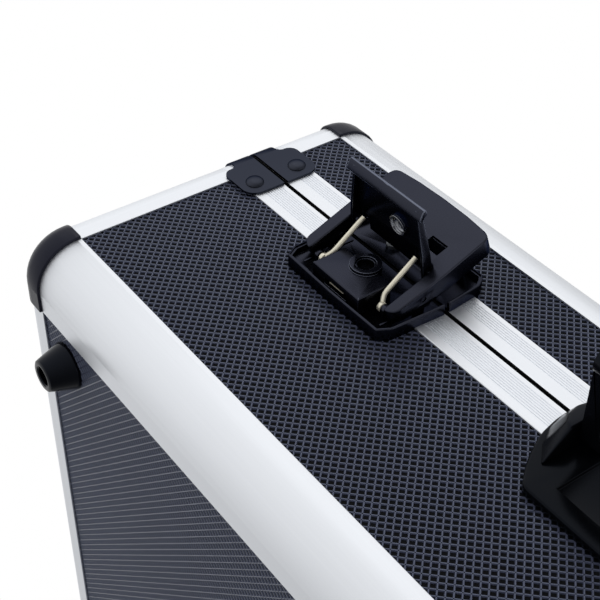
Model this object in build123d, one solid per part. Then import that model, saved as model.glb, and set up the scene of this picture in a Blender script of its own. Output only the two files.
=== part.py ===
from build123d import *
import os

os.makedirs("parts", exist_ok=True)

# The case lies on its four feet: X is its width, -Y its front with the latches and handle, +Z up.
WIDTH = 572.0
DEPTH = 420.0
BASE_HEIGHT = 116.0
LID_HEIGHT = 65.0
FOOT_HEIGHT = 12.0

# What stands out of the front and back faces, so that the origin is under the middle of the whole.
FRONT_REACH = 51.0
REAR_REACH = 8.8
Y_FRONT = (FRONT_REACH - REAR_REACH - DEPTH) / 2
Y_BACK = Y_FRONT + DEPTH
Y_MIDDLE = (Y_FRONT + Y_BACK) / 2
Z_BOTTOM = FOOT_HEIGHT
Z_SPLIT = Z_BOTTOM + BASE_HEIGHT
Z_TOP = Z_SPLIT + LID_HEIGHT
Z_MIDDLE = (Z_BOTTOM + Z_TOP) / 2

# Panels stand in channels of the aluminium profiles, which are proud of them.
PROUD = 1.0
PANEL = 4.0
PANEL_BACK = PROUD + PANEL
CHANNEL_BACK = PANEL_BACK + 1.2
EDGE_RADIUS = 8.0

# The wide rounded profile along the front and back edges.
WIDE_ON_FACE = 22.0
WIDE_ON_FLOOR = 30.0
WIDE_RADIUS = 20.0
WIDE_SLOT = 17.0
WIDE_PANEL_EDGE = 20.0
WIDE_INNER_LEG = 26.0
WIDE_CHAMFER = 12.0

# The narrow profile along the ends and up the corners.
NARROW_ON_FACE = 15.2
NARROW_ON_END = 12.0
NARROW_SLOT = 6.3
NARROW_PANEL_EDGE = 8.0
NARROW_INNER_LEG = 16.0

# The rim rails either side of the split, with a tongue on the base.
SPLIT_GAP = 0.9
RAIL = 16.0
RAIL_SLOT = 8.0
RAIL_DEPTH = 7.4
RAIL_INNER_DROP = 10.0
TONGUE_RISE = 3.0
TONGUE = (3.0, 4.6)
GROOVE = (2.6, 5.0)
GROOVE_RISE = 3.6
TONGUE_BACK_STOP = 40.0

CAP_PROUD = 1.2
CAP_ROUND = 9.0

CLIP_THICKNESS = 1.0
CLIP_GAP = 0.1
CLIP_REACH = 32.0
CLIP_RISE = 19.3
CLIP_NECK = 11.5
CLIP_NECK_END = 9.5
RIVET_FROM_END = 24.0
RIVET_FROM_SPLIT = 11.5
RIVET_HEAD_RADIUS = 4.0
RIVET_HEAD_RISE = 1.8
RIVET_SHANK_RADIUS = 2.0

FOOT_FROM_END = 33.6
FOOT_FROM_FACE = 47.3
FOOT_TOP_RADIUS = 11.0
FOOT_TIP_RADIUS = 7.2
FOOT_HOLE_RADIUS = 4.4
FOOT_HOLE_DEPTH = 6.5

FOAM_CLEAR = 0.8
FOAM_FLOOR = 16.0
FOAM_WALL = 8.0
LID_FOAM = 24.0

# Latches, in a frame of their own: x across, y out of the case (negative), z from the split.
LATCH_X = 178.0
TRAY_FLOOR = 1.2
TRAY_RIM = 1.6
TRAY_HEIGHT = 4.9
TRAY_HALF = 33.2
TRAY_NEAR = -32.9
KEEPER_FAR = 23.6
SPLIT_EDGE = 1.0
COVER_PIVOT = (9.5, -10.0)
COVER_TILT = 19.7
COVER_TOP = 13.83
COVER_DEEP = 8.5
SKIN = 1.6
ARM_INNER = 23.9
ARM_WALL = 1.5
PIVOT_PIN_RADIUS = 1.2
LEVER_AXIS = (11.67, -1.08)
LEVER_SWING = 99.6
LEVER_PIN_RADIUS = 1.0
LOCK_X = 5.5
LOCK_RADIUS = 4.6
LIP_HALF = 21.0
RUNNING = 0.05
LINK_PIVOT = (4.4, -22.0)
LINK_TOP = (18.9, -3.8)
LINK_KINK = (7.9, -19.4)
LINK_X_LOW = 18.7
LINK_X_TOP = 16.4
LINK_RADIUS = 0.9
CENTRE_HALF = 14.7
CENTRE_NEAR = -30.6
CENTRE_FAR = -14.0
CENTRE_TOP = 9.3
BOSS_RADIUS = 6.7
BOSS_TOP = 11.3
BOSS_Z = -15.2
CATCH_HALF = 20.0
KEEPER_SCREW_Z = 9.0

# Handle, in a frame of its own at the middle of the front: x across, y out (negative), z from the split.
HANDLE_HALF = 76.8
HANDLE_LOW_HALF = 60.0
HANDLE_LOW = -41.0
HANDLE_PLATE = 3.0
HANDLE_WELL_LOW = -32.3
POD_TOP = 14.0
HANDLE_PIVOT = (9.0, -7.5)
HANDLE_ARM_OUT = 62.0
HANDLE_ARM_THICK = 8.0
HANDLE_ARM_WIDE = 10.0
HANDLE_BAR_AT = 42.0
HANDLE_BAR_RADIUS = 9.0
HANDLE_ARM_END_RADIUS = 6.0
HANDLE_PIN_RADIUS = 2.5

# Back hinges: the pins' centre line lies at the split, behind the back face.
HINGE_X = 190.0
HINGE_HALF = 25.0
HINGE_OUT = 4.6
KNUCKLE_RADIUS = 4.2
HINGE_PIN_RADIUS = 2.0
HINGE_LEAF = 1.5
HINGE_LEAF_RISE = 15.0
KNUCKLE_GAP = 0.4
HINGE_RIVET_X = 16.0
HINGE_RIVET_RISE = 10.6


def save(name, *solids):
    """Write the solids of one named piece to its STEP file."""
    found = []
    for item in solids:
        found += list(item.solids())
    for number, solid in enumerate(found):
        solid.label = f"{name}_{number + 1}"
    export_step(found[0] if len(found) == 1 else Compound(label=name, children=found), f"parts/{name}.step")


def box(low, high):
    """A box between two opposite corners."""
    size = [h - l for l, h in zip(low, high)]
    return Pos(*[(l + h) / 2 for l, h in zip(low, high)]) * Box(*size)


def rod_x(radius, x0, x1, y, z):
    """A round bar along X."""
    return Pos((x0 + x1) / 2, y, z) * Rot(0, 90, 0) * Cylinder(radius, abs(x1 - x0))


def rod_y(radius, y0, y1, x, z):
    """A round bar along Y."""
    return Pos(x, (y0 + y1) / 2, z) * Rot(90, 0, 0) * Cylinder(radius, abs(y1 - y0))


def rod_between(start, end, radius):
    """A round bar from one point to another, with a ball on its far end."""
    start, end = Vector(*start), Vector(*end)
    along = end - start
    bar = Plane(origin=start + along * 0.5, z_dir=along.normalized()) * Cylinder(radius, along.length)
    return bar + Pos(*end) * Sphere(radius)


def prism(points, axis, start, end):
    """A prism along an axis, on points given as (y, z), (x, z) or (x, y)."""
    plane = {"X": Plane.YZ, "Y": Plane.XZ, "Z": Plane.XY}[axis]
    way = {"X": (1, 0, 0), "Y": (0, 1, 0), "Z": (0, 0, 1)}[axis]
    face = make_face(Polyline(*points, close=True))
    return Pos(*[start * w for w in way]) * extrude(plane * face, amount=end - start, dir=way)


def edge_bar(section, radius, axis, place, start, end):
    """A profile along an axis: its section is given from the outer corner, which is then rounded."""
    plane = {"X": Plane.YZ, "Y": Plane.XZ, "Z": Plane.XY}[axis]
    way = {"X": (1, 0, 0), "Y": (0, 1, 0), "Z": (0, 0, 1)}[axis]
    face = make_face(Polyline(*[place(a, b) for a, b in section], close=True))
    corner = face.vertices().sort_by_distance(Vector(*place(0, 0)))[0]
    face = fillet(corner, radius)
    return Pos(*[start * w for w in way]) * extrude(plane * face, amount=end - start, dir=way)


def mirror_x(shape):
    """The same piece on the other end of the case."""
    return mirror(shape, about=Plane.YZ)


def mirror_y(shape):
    """The same piece on the other side, front to back."""
    return mirror(shape, about=Plane.XZ.offset(-Y_MIDDLE))


def to_lid(shape):
    """The same piece turned over from the base's bottom edge to the lid's top edge."""
    return mirror(shape, about=Plane.XY.offset(Z_MIDDLE))


def at_corners(shape):
    """Four copies, one at each corner of the plan."""
    return [shape, mirror_x(shape), mirror_y(shape), mirror_x(mirror_y(shape))]


WIDE_SECTION = [
    (0, WIDE_ON_FACE), (0, 0), (WIDE_ON_FLOOR, 0), (WIDE_ON_FLOOR, PROUD), (WIDE_SLOT, PROUD),
    (WIDE_SLOT, PANEL_BACK), (WIDE_INNER_LEG, PANEL_BACK), (WIDE_INNER_LEG, CHANNEL_BACK),
    (WIDE_CHAMFER, CHANNEL_BACK), (CHANNEL_BACK, WIDE_CHAMFER), (CHANNEL_BACK, WIDE_ON_FACE),
    (PANEL_BACK, WIDE_ON_FACE), (PANEL_BACK, WIDE_SLOT), (PROUD, WIDE_SLOT), (PROUD, WIDE_ON_FACE),
]
NARROW_SECTION = [
    (0, NARROW_ON_END), (0, 0), (NARROW_ON_FACE, 0), (NARROW_ON_FACE, PROUD), (NARROW_SLOT, PROUD),
    (NARROW_SLOT, PANEL_BACK), (NARROW_INNER_LEG, PANEL_BACK), (NARROW_INNER_LEG, CHANNEL_BACK),
    (CHANNEL_BACK, CHANNEL_BACK), (CHANNEL_BACK, NARROW_INNER_LEG), (PANEL_BACK, NARROW_INNER_LEG),
    (PANEL_BACK, NARROW_SLOT), (PROUD, NARROW_SLOT), (PROUD, NARROW_ON_END),
]


def make_edges():
    """The profiles along the case's outer edges."""
    half = WIDTH / 2
    wide = edge_bar(WIDE_SECTION, WIDE_RADIUS, "X", lambda a, b: (Y_FRONT + a, Z_BOTTOM + b),
                    -half + NARROW_ON_FACE, half - NARROW_ON_FACE)
    save("base_front_edge_profile", wide)
    save("base_back_edge_profile", mirror_y(wide))
    save("lid_front_edge_profile", to_lid(wide))
    save("lid_back_edge_profile", to_lid(mirror_y(wide)))
    end = edge_bar(NARROW_SECTION, EDGE_RADIUS, "Y", lambda a, b: (-half + a, Z_BOTTOM + b),
                   Y_FRONT + WIDE_ON_FLOOR, Y_BACK - WIDE_ON_FLOOR)
    save("base_end_edge_profiles", end, mirror_x(end))
    save("lid_end_edge_profiles", to_lid(end), to_lid(mirror_x(end)))

    def post(low, high):
        return edge_bar(NARROW_SECTION, EDGE_RADIUS, "Z", lambda a, b: (-half + a, Y_FRONT + b), low, high)

    save("base_corner_posts", *at_corners(post(Z_BOTTOM + WIDE_ON_FACE, Z_SPLIT - RAIL)))
    save("lid_corner_posts", *at_corners(post(Z_SPLIT + RAIL, Z_TOP - WIDE_ON_FACE)))


def plan_block(inset, low, high):
    """A slab of the case's plan, drawn in by an inset, with its corners rounded to match."""
    radius = max(EDGE_RADIUS - inset, 0.4)
    sketch = RectangleRounded(WIDTH - 2 * inset, DEPTH - 2 * inset, radius)
    return Pos(0, Y_MIDDLE, low) * extrude(sketch, amount=high - low)


def ring(outer, inner, low, high):
    """A band of the case's plan between two insets."""
    return plan_block(outer, low, high) - plan_block(inner, low, high)


def mitre(side, low, high):
    """The part of the plan that one side's rail takes, cut at 45 degrees at the corners."""
    half, deep = WIDTH / 2 + 5, 25.0
    if side == "front":
        points = [(-half, Y_FRONT - 5), (half, Y_FRONT - 5), (half - deep, Y_FRONT - 5 + deep),
                  (-half + deep, Y_FRONT - 5 + deep)]
    else:
        points = [(-half, Y_FRONT - 5), (-half + deep, Y_FRONT - 5 + deep),
                  (-half + deep, Y_BACK + 5 - deep), (-half, Y_BACK + 5)]
    return prism(points, "Z", low, high)


def clip_rivet(place, z):
    """One domed rivet through a clip and its rail, at the front left corner."""
    (x, y), way = place
    face_out = CLIP_GAP + CLIP_THICKNESS
    below = (Align.CENTER, Align.CENTER, Align.MAX)
    shank = Cylinder(RIVET_SHANK_RADIUS, RAIL_DEPTH + face_out - 1.0, align=below)
    sphere = (RIVET_HEAD_RADIUS ** 2 + RIVET_HEAD_RISE ** 2) / (2 * RIVET_HEAD_RISE)
    dome = Pos(0, 0, RIVET_HEAD_RISE - sphere) * Sphere(sphere)
    head = dome & Pos(0, 0, 5) * Cylinder(RIVET_HEAD_RADIUS, 10)
    body = shank + head
    turn = Rot(90, 0, 0) if way == "Y" else Rot(0, -90, 0)
    shift = Pos(x, y - face_out, z) if way == "Y" else Pos(x - face_out, y, z)
    return shift * turn * body


def clip_rivets(sign):
    """All the clips' rivets of the base (sign -1) or the lid (sign 1)."""
    half = WIDTH / 2
    z = Z_SPLIT + sign * RIVET_FROM_SPLIT
    places = [((-half + RIVET_FROM_END, Y_FRONT), "Y"), ((-half, Y_FRONT + RIVET_FROM_END), "X")]
    return [rivet for place in places for rivet in at_corners(clip_rivet(place, z))]


def make_rims():
    """The rails either side of the split, with their clips and rivets."""
    low, high = Z_SPLIT - RAIL, Z_SPLIT - SPLIT_GAP
    base = ring(0, RAIL_DEPTH, Z_SPLIT - RAIL_INNER_DROP, high) + ring(0, PROUD, low, high)
    base += ring(PANEL_BACK, CHANNEL_BACK, low, high)
    base -= ring(PROUD, PANEL_BACK, low - 1, Z_SPLIT - RAIL_SLOT)
    tongue = ring(TONGUE[0], TONGUE[1], high - 0.2, Z_SPLIT + TONGUE_RISE)
    tongue -= box((-WIDTH, Y_BACK - TONGUE_BACK_STOP, low), (WIDTH, Y_BACK + 1, Z_SPLIT + 9))
    base += tongue
    lid = ring(0, RAIL_DEPTH, Z_SPLIT + SPLIT_GAP, Z_SPLIT + RAIL_INNER_DROP)
    lid += ring(0, PROUD, Z_SPLIT + SPLIT_GAP, Z_SPLIT + RAIL)
    lid += ring(PANEL_BACK, CHANNEL_BACK, Z_SPLIT + SPLIT_GAP, Z_SPLIT + RAIL)
    lid -= ring(PROUD, PANEL_BACK, Z_SPLIT + RAIL_SLOT, Z_SPLIT + RAIL + 1)
    lid -= ring(GROOVE[0], GROOVE[1], Z_SPLIT, Z_SPLIT + GROOVE_RISE)
    for name, body, sign in (("base", base, -1), ("lid", lid, 1)):
        body = drilled(body, name)
        span = (Z_SPLIT - RAIL - 1, Z_SPLIT + RAIL + 1)
        front = body & mitre("front", *span)
        end = body & mitre("end", *span)
        save(f"{name}_front_rim_rail", front)
        save(f"{name}_back_rim_rail", body & mirror_y(mitre("front", *span)))
        save(f"{name}_end_rim_rails", end, body & mirror_x(mitre("end", *span)))
        clip = drilled(corner_clip(sign), name)
        save(f"{name}_corner_clips", *at_corners(clip))
        save(f"{name}_clip_rivets", *clip_rivets(sign))


def corner_clip(sign):
    """A steel strap bent round the front left corner, with a round-ended lobe on each face."""
    half = WIDTH / 2
    low, high = sorted((Z_SPLIT + sign * SPLIT_EDGE, Z_SPLIT + sign * CLIP_RISE))
    out = CLIP_GAP + CLIP_THICKNESS
    strap = ring(-out, -CLIP_GAP, low, high)
    points = [(-6.0, SPLIT_EDGE), (CLIP_REACH, SPLIT_EDGE), (CLIP_REACH, CLIP_RISE), (CLIP_NECK_END, CLIP_RISE),
              (CLIP_NECK_END, CLIP_NECK), (-6.0, CLIP_NECK)]
    lobe = make_face(Polyline(*[(x, sign * z) for x, z in points], close=True))
    for corner, radius in ((points[2], 6.5), (points[3], 4.5), (points[4], 3.0)):
        place = Vector(corner[0], sign * corner[1], 0)
        lobe = fillet(lobe.vertices().sort_by_distance(place)[0], radius)
    across = Pos(-half, Y_FRONT, Z_SPLIT) * extrude(Plane.XZ * lobe, amount=8, both=True)
    along = Pos(-half, Y_FRONT, Z_SPLIT) * extrude(Plane.YZ * lobe, amount=8, both=True)
    front = strap & across & mitre("front", low, high)
    side = strap & along & mitre("end", low, high)
    return front + side


def corner_cap():
    """The moulded cap that closes the front, end and bottom profiles at the front left corner."""
    half = WIDTH / 2

    def block(out, x_start):
        points = [(-out, WIDE_ON_FACE), (-out, -out), (WIDE_ON_FLOOR, -out), (WIDE_ON_FLOOR, WIDE_ON_FACE)]
        face = make_face(Polyline(*[(Y_FRONT + a, Z_BOTTOM + b) for a, b in points], close=True))
        corner = face.vertices().sort_by_distance(Vector(Y_FRONT - out, Z_BOTTOM - out))[0]
        face = fillet(corner, WIDE_RADIUS + out)
        length = -half + NARROW_ON_FACE - x_start
        solid = Pos(x_start, 0, 0) * extrude(Plane.YZ * face, amount=length, dir=(1, 0, 0))
        y_end, z_end = Y_FRONT + WIDE_ON_FLOOR - 1, Z_BOTTOM + WIDE_ON_FACE - 1
        outer_edges = [e for e in solid.faces().sort_by(Axis.X)[0].edges()
                       if e.center().Y < y_end and e.center().Z < z_end]
        return fillet(outer_edges, CAP_ROUND if out > 0 else CAP_ROUND - 2.5)

    inner = block(-PROUD, -half + PROUD) + box((-half + PROUD, Y_FRONT + 12, Z_BOTTOM + 12),
                                                (-half + 40, Y_FRONT + 40, Z_BOTTOM + 40))
    return block(CAP_PROUD, -half - CAP_PROUD) - inner


def make_panels():
    """The laminated panels, the corner caps, the feet and the foam."""
    half = WIDTH / 2
    clear = NARROW_PANEL_EDGE
    low, high = Z_BOTTOM - FOOT_HEIGHT, Z_BOTTOM + PROUD
    x, y = -half + FOOT_FROM_END, Y_FRONT + FOOT_FROM_FACE
    foot = Pos(x, y, (low + high) / 2) * Cone(FOOT_TIP_RADIUS, FOOT_TOP_RADIUS, high - low)
    foot -= Pos(x, y, low) * Cylinder(FOOT_HOLE_RADIUS, 2 * FOOT_HOLE_DEPTH)
    screw = Pos(x, y, low + FOOT_HOLE_DEPTH - 1.1) * Cylinder(3.6, 2.2)
    screw += Pos(x, y, low + FOOT_HOLE_DEPTH + 5.5) * Cylinder(1.9, 11.0)
    feet, screws = at_corners(foot - screw), at_corners(screw)
    save("feet", *feet)
    save("foot_screws", *screws)

    floor = box((-half + clear, Y_FRONT + WIDE_PANEL_EDGE, Z_BOTTOM + PROUD),
                (half - clear, Y_BACK - WIDE_PANEL_EDGE, Z_BOTTOM + PANEL_BACK))
    save("lid_top_panel", to_lid(floor))
    for item in screws:
        floor -= item
    save("base_floor_panel", floor)

    def wall(low, high, name):
        front = box((-half + clear, Y_FRONT + PROUD, low), (half - clear, Y_FRONT + PANEL_BACK, high))
        save(f"{name}_front_panel", drilled(front, name))
        save(f"{name}_back_panel", drilled(mirror_y(front), name))

    wall(Z_BOTTOM + WIDE_PANEL_EDGE, Z_SPLIT - RAIL_SLOT, "base")
    wall(Z_SPLIT + RAIL_SLOT, Z_TOP - WIDE_PANEL_EDGE, "lid")

    def end_panel(height):
        low, high = Z_BOTTOM + clear, Z_BOTTOM + height - RAIL_SLOT
        face = make_face(Polyline((Y_FRONT + clear, low), (Y_BACK - clear, low), (Y_BACK - clear, high),
                                  (Y_FRONT + clear, high), close=True))
        face = fillet(face.vertices().group_by(Axis.Y)[0], 12.0)
        return Pos(-half + PROUD, 0, 0) * extrude(Plane.YZ * face, amount=PANEL, dir=(1, 0, 0))

    base_end = drilled(end_panel(BASE_HEIGHT), "base")
    lid_end = drilled(to_lid(end_panel(LID_HEIGHT)), "lid")
    save("base_end_panels", base_end, mirror_x(base_end))
    save("lid_end_panels", lid_end, mirror_x(lid_end))
    cap = corner_cap()
    save("base_corner_caps", *at_corners(cap))
    save("lid_corner_caps", *[to_lid(c) for c in at_corners(cap)])

    inset = CHANNEL_BACK + FOAM_CLEAR
    floor_low = Z_BOTTOM + inset
    save("base_foam_floor", box((-half + inset, Y_FRONT + WIDE_CHAMFER + 1, floor_low),
                                (half - inset, Y_BACK - WIDE_CHAMFER - 1, floor_low + FOAM_FLOOR)))
    low, high = floor_low + FOAM_FLOOR + FOAM_CLEAR, Z_SPLIT - RAIL - 2
    front = box((-half + inset, Y_FRONT + inset, low), (half - inset, Y_FRONT + inset + FOAM_WALL, high))
    end = box((-half + inset, Y_FRONT + inset + FOAM_WALL + FOAM_CLEAR, low),
              (-half + inset + FOAM_WALL, Y_BACK - inset - FOAM_WALL - FOAM_CLEAR, high))
    save("base_foam_walls", front, mirror_y(front), end, mirror_x(end))
    save("lid_foam", box((-half + inset, Y_FRONT + WIDE_CHAMFER + 1, Z_TOP - inset - LID_FOAM),
                         (half - inset, Y_BACK - WIDE_CHAMFER - 1, Z_TOP - inset)))


def outline(points):
    """A closed outline from its right half, mirrored in x, as (x, z) points."""
    return points + [(-x, z) for x, z in reversed(points) if x != 0]


TRAY_OUTLINE = outline([(0, TRAY_NEAR - 0.5), (29.0, TRAY_NEAR), (32.0, -27.5), (TRAY_HALF, -SPLIT_EDGE)])
TRAY_INSIDE = outline([(0, TRAY_NEAR - 0.5 + TRAY_RIM), (28.2, TRAY_NEAR + TRAY_RIM), (30.4, -26.9),
                       (TRAY_HALF - TRAY_RIM, 0)])
KEEPER_OUTLINE = outline([(TRAY_HALF, SPLIT_EDGE), (31.6, 18.0), (29.6, 21.4), (27.4, KEEPER_FAR)])
KEEPER_INSIDE = outline([(TRAY_HALF - TRAY_RIM, 0), (30.0, 17.6), (28.4, 20.4), (26.8, KEEPER_FAR + 1)])
COVER_OUTLINE = outline([(0, 28.0), (14.5, 27.7), (26.4, 26.7), (28.6, 25.6), (29.6, 23.4), (30.2, 2.0),
                         (29.4, -23.2), (ARM_INNER, -26.0), (ARM_INNER, 1.6)])
COVER_POCKET = outline([(0, 26.4), (14.5, 26.1), (25.8, 25.1), (28.1, 22.8), (28.6, 2.0), (28.0, -22.4),
                        (ARM_INNER + ARM_WALL, -23.8), (ARM_INNER + ARM_WALL, 1.5)])
LEVER_OUTLINE = outline([(0, -32.8), (19.1, -31.8), (20.3, -26.0), (22.6, -11.0), (23.3, 0.6)])


def latch_tray():
    """The base plate: a low tray with ears for the cover and posts for the two links."""
    tray = prism(TRAY_OUTLINE, "Y", -TRAY_HEIGHT, 0) - prism(TRAY_INSIDE, "Y", -TRAY_HEIGHT - 1, -TRAY_FLOOR)
    foot_outline = [(x, z) for x, z in TRAY_OUTLINE if z < -SPLIT_EDGE]
    below = prism(foot_outline, "Y", 0, PROUD)
    tray += below - box((-50, -1, -RAIL - 0.3), (50, 2, 0))
    v, w = COVER_PIVOT
    ear = box((25.9, -v, w - 2.3), (27.9, -TRAY_FLOOR, w + 2.3)) + rod_x(2.3, 25.9, 27.9, -v, w)
    ear -= rod_x(PIVOT_PIN_RADIUS, 20, 30, -v, w)
    v, w = LINK_PIVOT
    post = box((20.3, -v, w - 2.2), (22.2, -TRAY_FLOOR, w + 2.2)) + rod_x(2.2, 20.3, 22.2, -v, w)
    post -= rod_x(0.85, 15, 25, -v, w)
    tray += ear + mirror_x(ear) + post + mirror_x(post)
    return tray - latch_screw()


def latch_screw():
    """The pan-head screw that holds the tray, under the boss of the centre cover."""
    head = rod_y(3.3, -3.4, -TRAY_FLOOR, 0, BOSS_Z)
    return head + rod_y(1.7, -TRAY_FLOOR, PANEL_BACK, 0, BOSS_Z)


def latch_pins():
    """The pins that stay with the tray: two for the cover and two for the links."""
    v, w = COVER_PIVOT
    pin = rod_x(PIVOT_PIN_RADIUS, 24.3, 29.4, -v, w)
    v, w = LINK_PIVOT
    small = rod_x(0.85, 17.2, 22.2, -v, w)
    return [pin, mirror_x(pin), small, mirror_x(small)]


def latch_centre():
    """The box-shaped cover in the middle of the tray, with its boss and slot."""
    outer = box((-CENTRE_HALF, -CENTRE_TOP, CENTRE_NEAR), (CENTRE_HALF, -TRAY_FLOOR, CENTRE_FAR))
    outer = fillet(outer.edges().filter_by(Axis.X).group_by(Axis.Y)[0], 0.8)
    boss = rod_y(BOSS_RADIUS, -BOSS_TOP, -TRAY_FLOOR, 0, BOSS_Z)
    inside = box((-CENTRE_HALF + 1.4, -CENTRE_TOP + 1.4, CENTRE_NEAR + 1.4),
                 (CENTRE_HALF - 1.4, 0, CENTRE_FAR - 1.4))
    slot = box((-7.0, -6.2, CENTRE_NEAR - 1), (7.0, -3.2, CENTRE_NEAR + 3))
    return (outer - inside - slot + boss) - rod_y(4.4, -BOSS_TOP - 1, 1, 0, BOSS_Z)


def latch_keeper():
    """The keeper on the lid: it continues the tray's rim and ends in the bar that the cover holds."""
    keeper = prism(KEEPER_OUTLINE, "Y", -TRAY_HEIGHT, 0)
    keeper -= prism(KEEPER_INSIDE, "Y", -TRAY_HEIGHT - 1, -TRAY_FLOOR)
    keeper += prism(KEEPER_OUTLINE, "Y", 0, PROUD) - box((-50, -1, 0), (50, 2, RAIL + 0.3))
    keeper += box((-CATCH_HALF, -8.5, 19.8), (CATCH_HALF, -TRAY_FLOOR, KEEPER_FAR - 0.1))
    for screw in keeper_screws():
        keeper -= screw
    return keeper


def keeper_screws():
    """Two screws that hold the keeper to the lid's rail."""
    heads = [rod_y(2.8, -2.9, -TRAY_FLOOR, x, KEEPER_SCREW_Z) for x in (-12.0, 12.0)]
    return [head + rod_y(1.4, -TRAY_FLOOR, 4.0, head.center().X, KEEPER_SCREW_Z) for head in heads]


def latch_cover():
    """The U-shaped cover as it lies when shut: two arms, a top skin, and a rib behind the keeper's bar."""
    low = -COVER_TOP
    cover = prism(COVER_OUTLINE, "Y", low, low + COVER_DEEP)
    cover = fillet(cover.faces().sort_by(Axis.Y)[0].edges(), 0.8)
    cover -= prism(COVER_POCKET, "Y", low + SKIN, low + COVER_DEEP + 1)
    cover += box((-18.0, low + SKIN - 0.2, 24.0), (18.0, -6.0, 26.6))
    under = [(-8.2, -27.5), (-5.33, -10.0), (-3.0, -10.0), (-3.0, -27.5)]
    cover -= prism(under, "X", -40, 40)
    for side in (-1, 1):
        window = sorted((side * 11.2, side * 20.4))
        cover -= box((window[0], low - 1, 6.0), (window[1], low + 3, 12.0))
        cover -= rod_x(PIVOT_PIN_RADIUS + RUNNING, side * 23.0, side * 31.5, -COVER_PIVOT[0], COVER_PIVOT[1])
        cover -= rod_x(LEVER_PIN_RADIUS, side * 23.0, side * 25.3, -LEVER_AXIS[0], LEVER_AXIS[1])
    return cover


def lever_pins():
    """Two short pins from the cover's arms into the lever."""
    pin = rod_x(LEVER_PIN_RADIUS, 20.0, ARM_INNER + ARM_WALL - 0.1, -LEVER_AXIS[0], LEVER_AXIS[1])
    return [pin, mirror_x(pin)]


def latch_lever():
    """The lever as it lies when shut: a plate with side flanges, a curled lip and two knuckles."""
    top = -COVER_TOP
    v, w = LEVER_AXIS
    plate = prism(LEVER_OUTLINE, "Y", top, top + SKIN)
    flange = prism([(19.1, -31.8), (20.3, -26.0), (22.6, -11.0), (23.3, 0.6), (22.0, 0.6), (21.3, -11.0),
                    (19.0, -26.0), (17.8, -31.6)], "Y", top, top + 5.2)
    wedge = prism([(top + 5.3, 1.0), (top + 2.4, -32.5), (top + 6, -33.5), (top + 6, 1.0)], "X", 10, 30)
    flange -= wedge
    lip = prism([(top, -32.6), (top + 1.0, -32.9), (top + 3.6, -28.6), (top + 2.9, -27.5),
                 (top + SKIN - 0.1, -30.0), (top + SKIN - 0.1, -31.0)], "X", -LIP_HALF, LIP_HALF)
    knuckle = rod_x(2.0, 20.4, 23.2, -v, w) + box((20.4, top + 0.4, w - 2.0), (23.2, -v, w + 1.6))
    lever = plate + lip
    for piece in (flange, knuckle):
        lever += piece + mirror_x(piece)
    for side in (-1, 1):
        lever -= rod_x(LEVER_PIN_RADIUS + RUNNING, side * 19.0, side * 24.0, -v, w)
        notch = sorted((side * 14.7, side * 18.5))
        lever -= box((notch[0], top - 1, -7.4), (notch[1], top + 3, 1.5))
    return lever - rod_y(LOCK_RADIUS, top - 1, top + 3, LOCK_X, BOSS_Z)


def lock_barrel():
    """The lock's barrel in the lever, a little off its middle, with its key slot."""
    top = -COVER_TOP
    barrel = rod_y(LOCK_RADIUS, top - 0.4, -BOSS_TOP - 0.4, LOCK_X, BOSS_Z)
    barrel -= box((LOCK_X - 0.7, top - 1, BOSS_Z - 2.6), (LOCK_X + 0.7, top + 1.4, BOSS_Z + 2.6))
    return barrel


def latch_links():
    """The two bent wire links, each with an eye on its post's pin."""
    v, w = LINK_PIVOT
    eye = rod_x(2.1, LINK_X_LOW - LINK_RADIUS, LINK_X_LOW + LINK_RADIUS, -v, w)
    kink = (LINK_X_LOW, -LINK_KINK[0], LINK_KINK[1])
    leg = rod_between((LINK_X_LOW, -v, w), kink, LINK_RADIUS)
    leg += rod_between(kink, (LINK_X_TOP, -LINK_TOP[0], LINK_TOP[1]), LINK_RADIUS)
    link = eye + leg - rod_x(0.85 + RUNNING, 15, 22, -v, w)
    return [link, mirror_x(link)]


def at_latches(pieces):
    """Copies of small pieces at both latches."""
    return [Pos(x, Y_FRONT, Z_SPLIT) * piece for x in (-LATCH_X, LATCH_X) for piece in pieces]


def swing(shape, axis, degrees):
    """Turn a piece about a line along X, given as (distance out of the face, height from the split)."""
    v, w = axis
    return Pos(0, -v, w) * Rot(degrees, 0, 0) * Pos(0, v, -w) * shape


def opened(shape):
    """A piece of the cover's group, tilted up with the cover."""
    return swing(shape, COVER_PIVOT, COVER_TILT)


def raised(shape):
    """A piece of the lever's group, stood up on the cover and tilted with it."""
    return opened(swing(shape, LEVER_AXIS, -LEVER_SWING))


def make_latches():
    """Both latches, open as they stand when the lid is free to lift."""
    centres, pins, keepers = [], [], []
    for side, x in (("left", -LATCH_X), ("right", LATCH_X)):
        at = Pos(x, Y_FRONT, Z_SPLIT)
        save(f"{side}_latch_base", at * latch_tray())
        centres.append(at * latch_centre())
        pins += [at * pin for pin in latch_pins()]
        keepers.append(at * latch_keeper())
        save(f"{side}_latch_cover", at * opened(latch_cover()))
        save(f"{side}_lever_pins", *[at * opened(pin) for pin in lever_pins()])
        save(f"{side}_latch_lever", at * raised(latch_lever()))
        save(f"{side}_lock_barrel", at * raised(lock_barrel()))
        save(f"{side}_latch_links", *[at * link for link in latch_links()])
    save("latch_centre_covers", *centres)
    save("latch_pivot_pins", *pins)
    save("latch_screws", *at_latches([latch_screw()]))
    save("latch_keepers", *keepers)
    save("keeper_screws", *at_latches(keeper_screws()))


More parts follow.
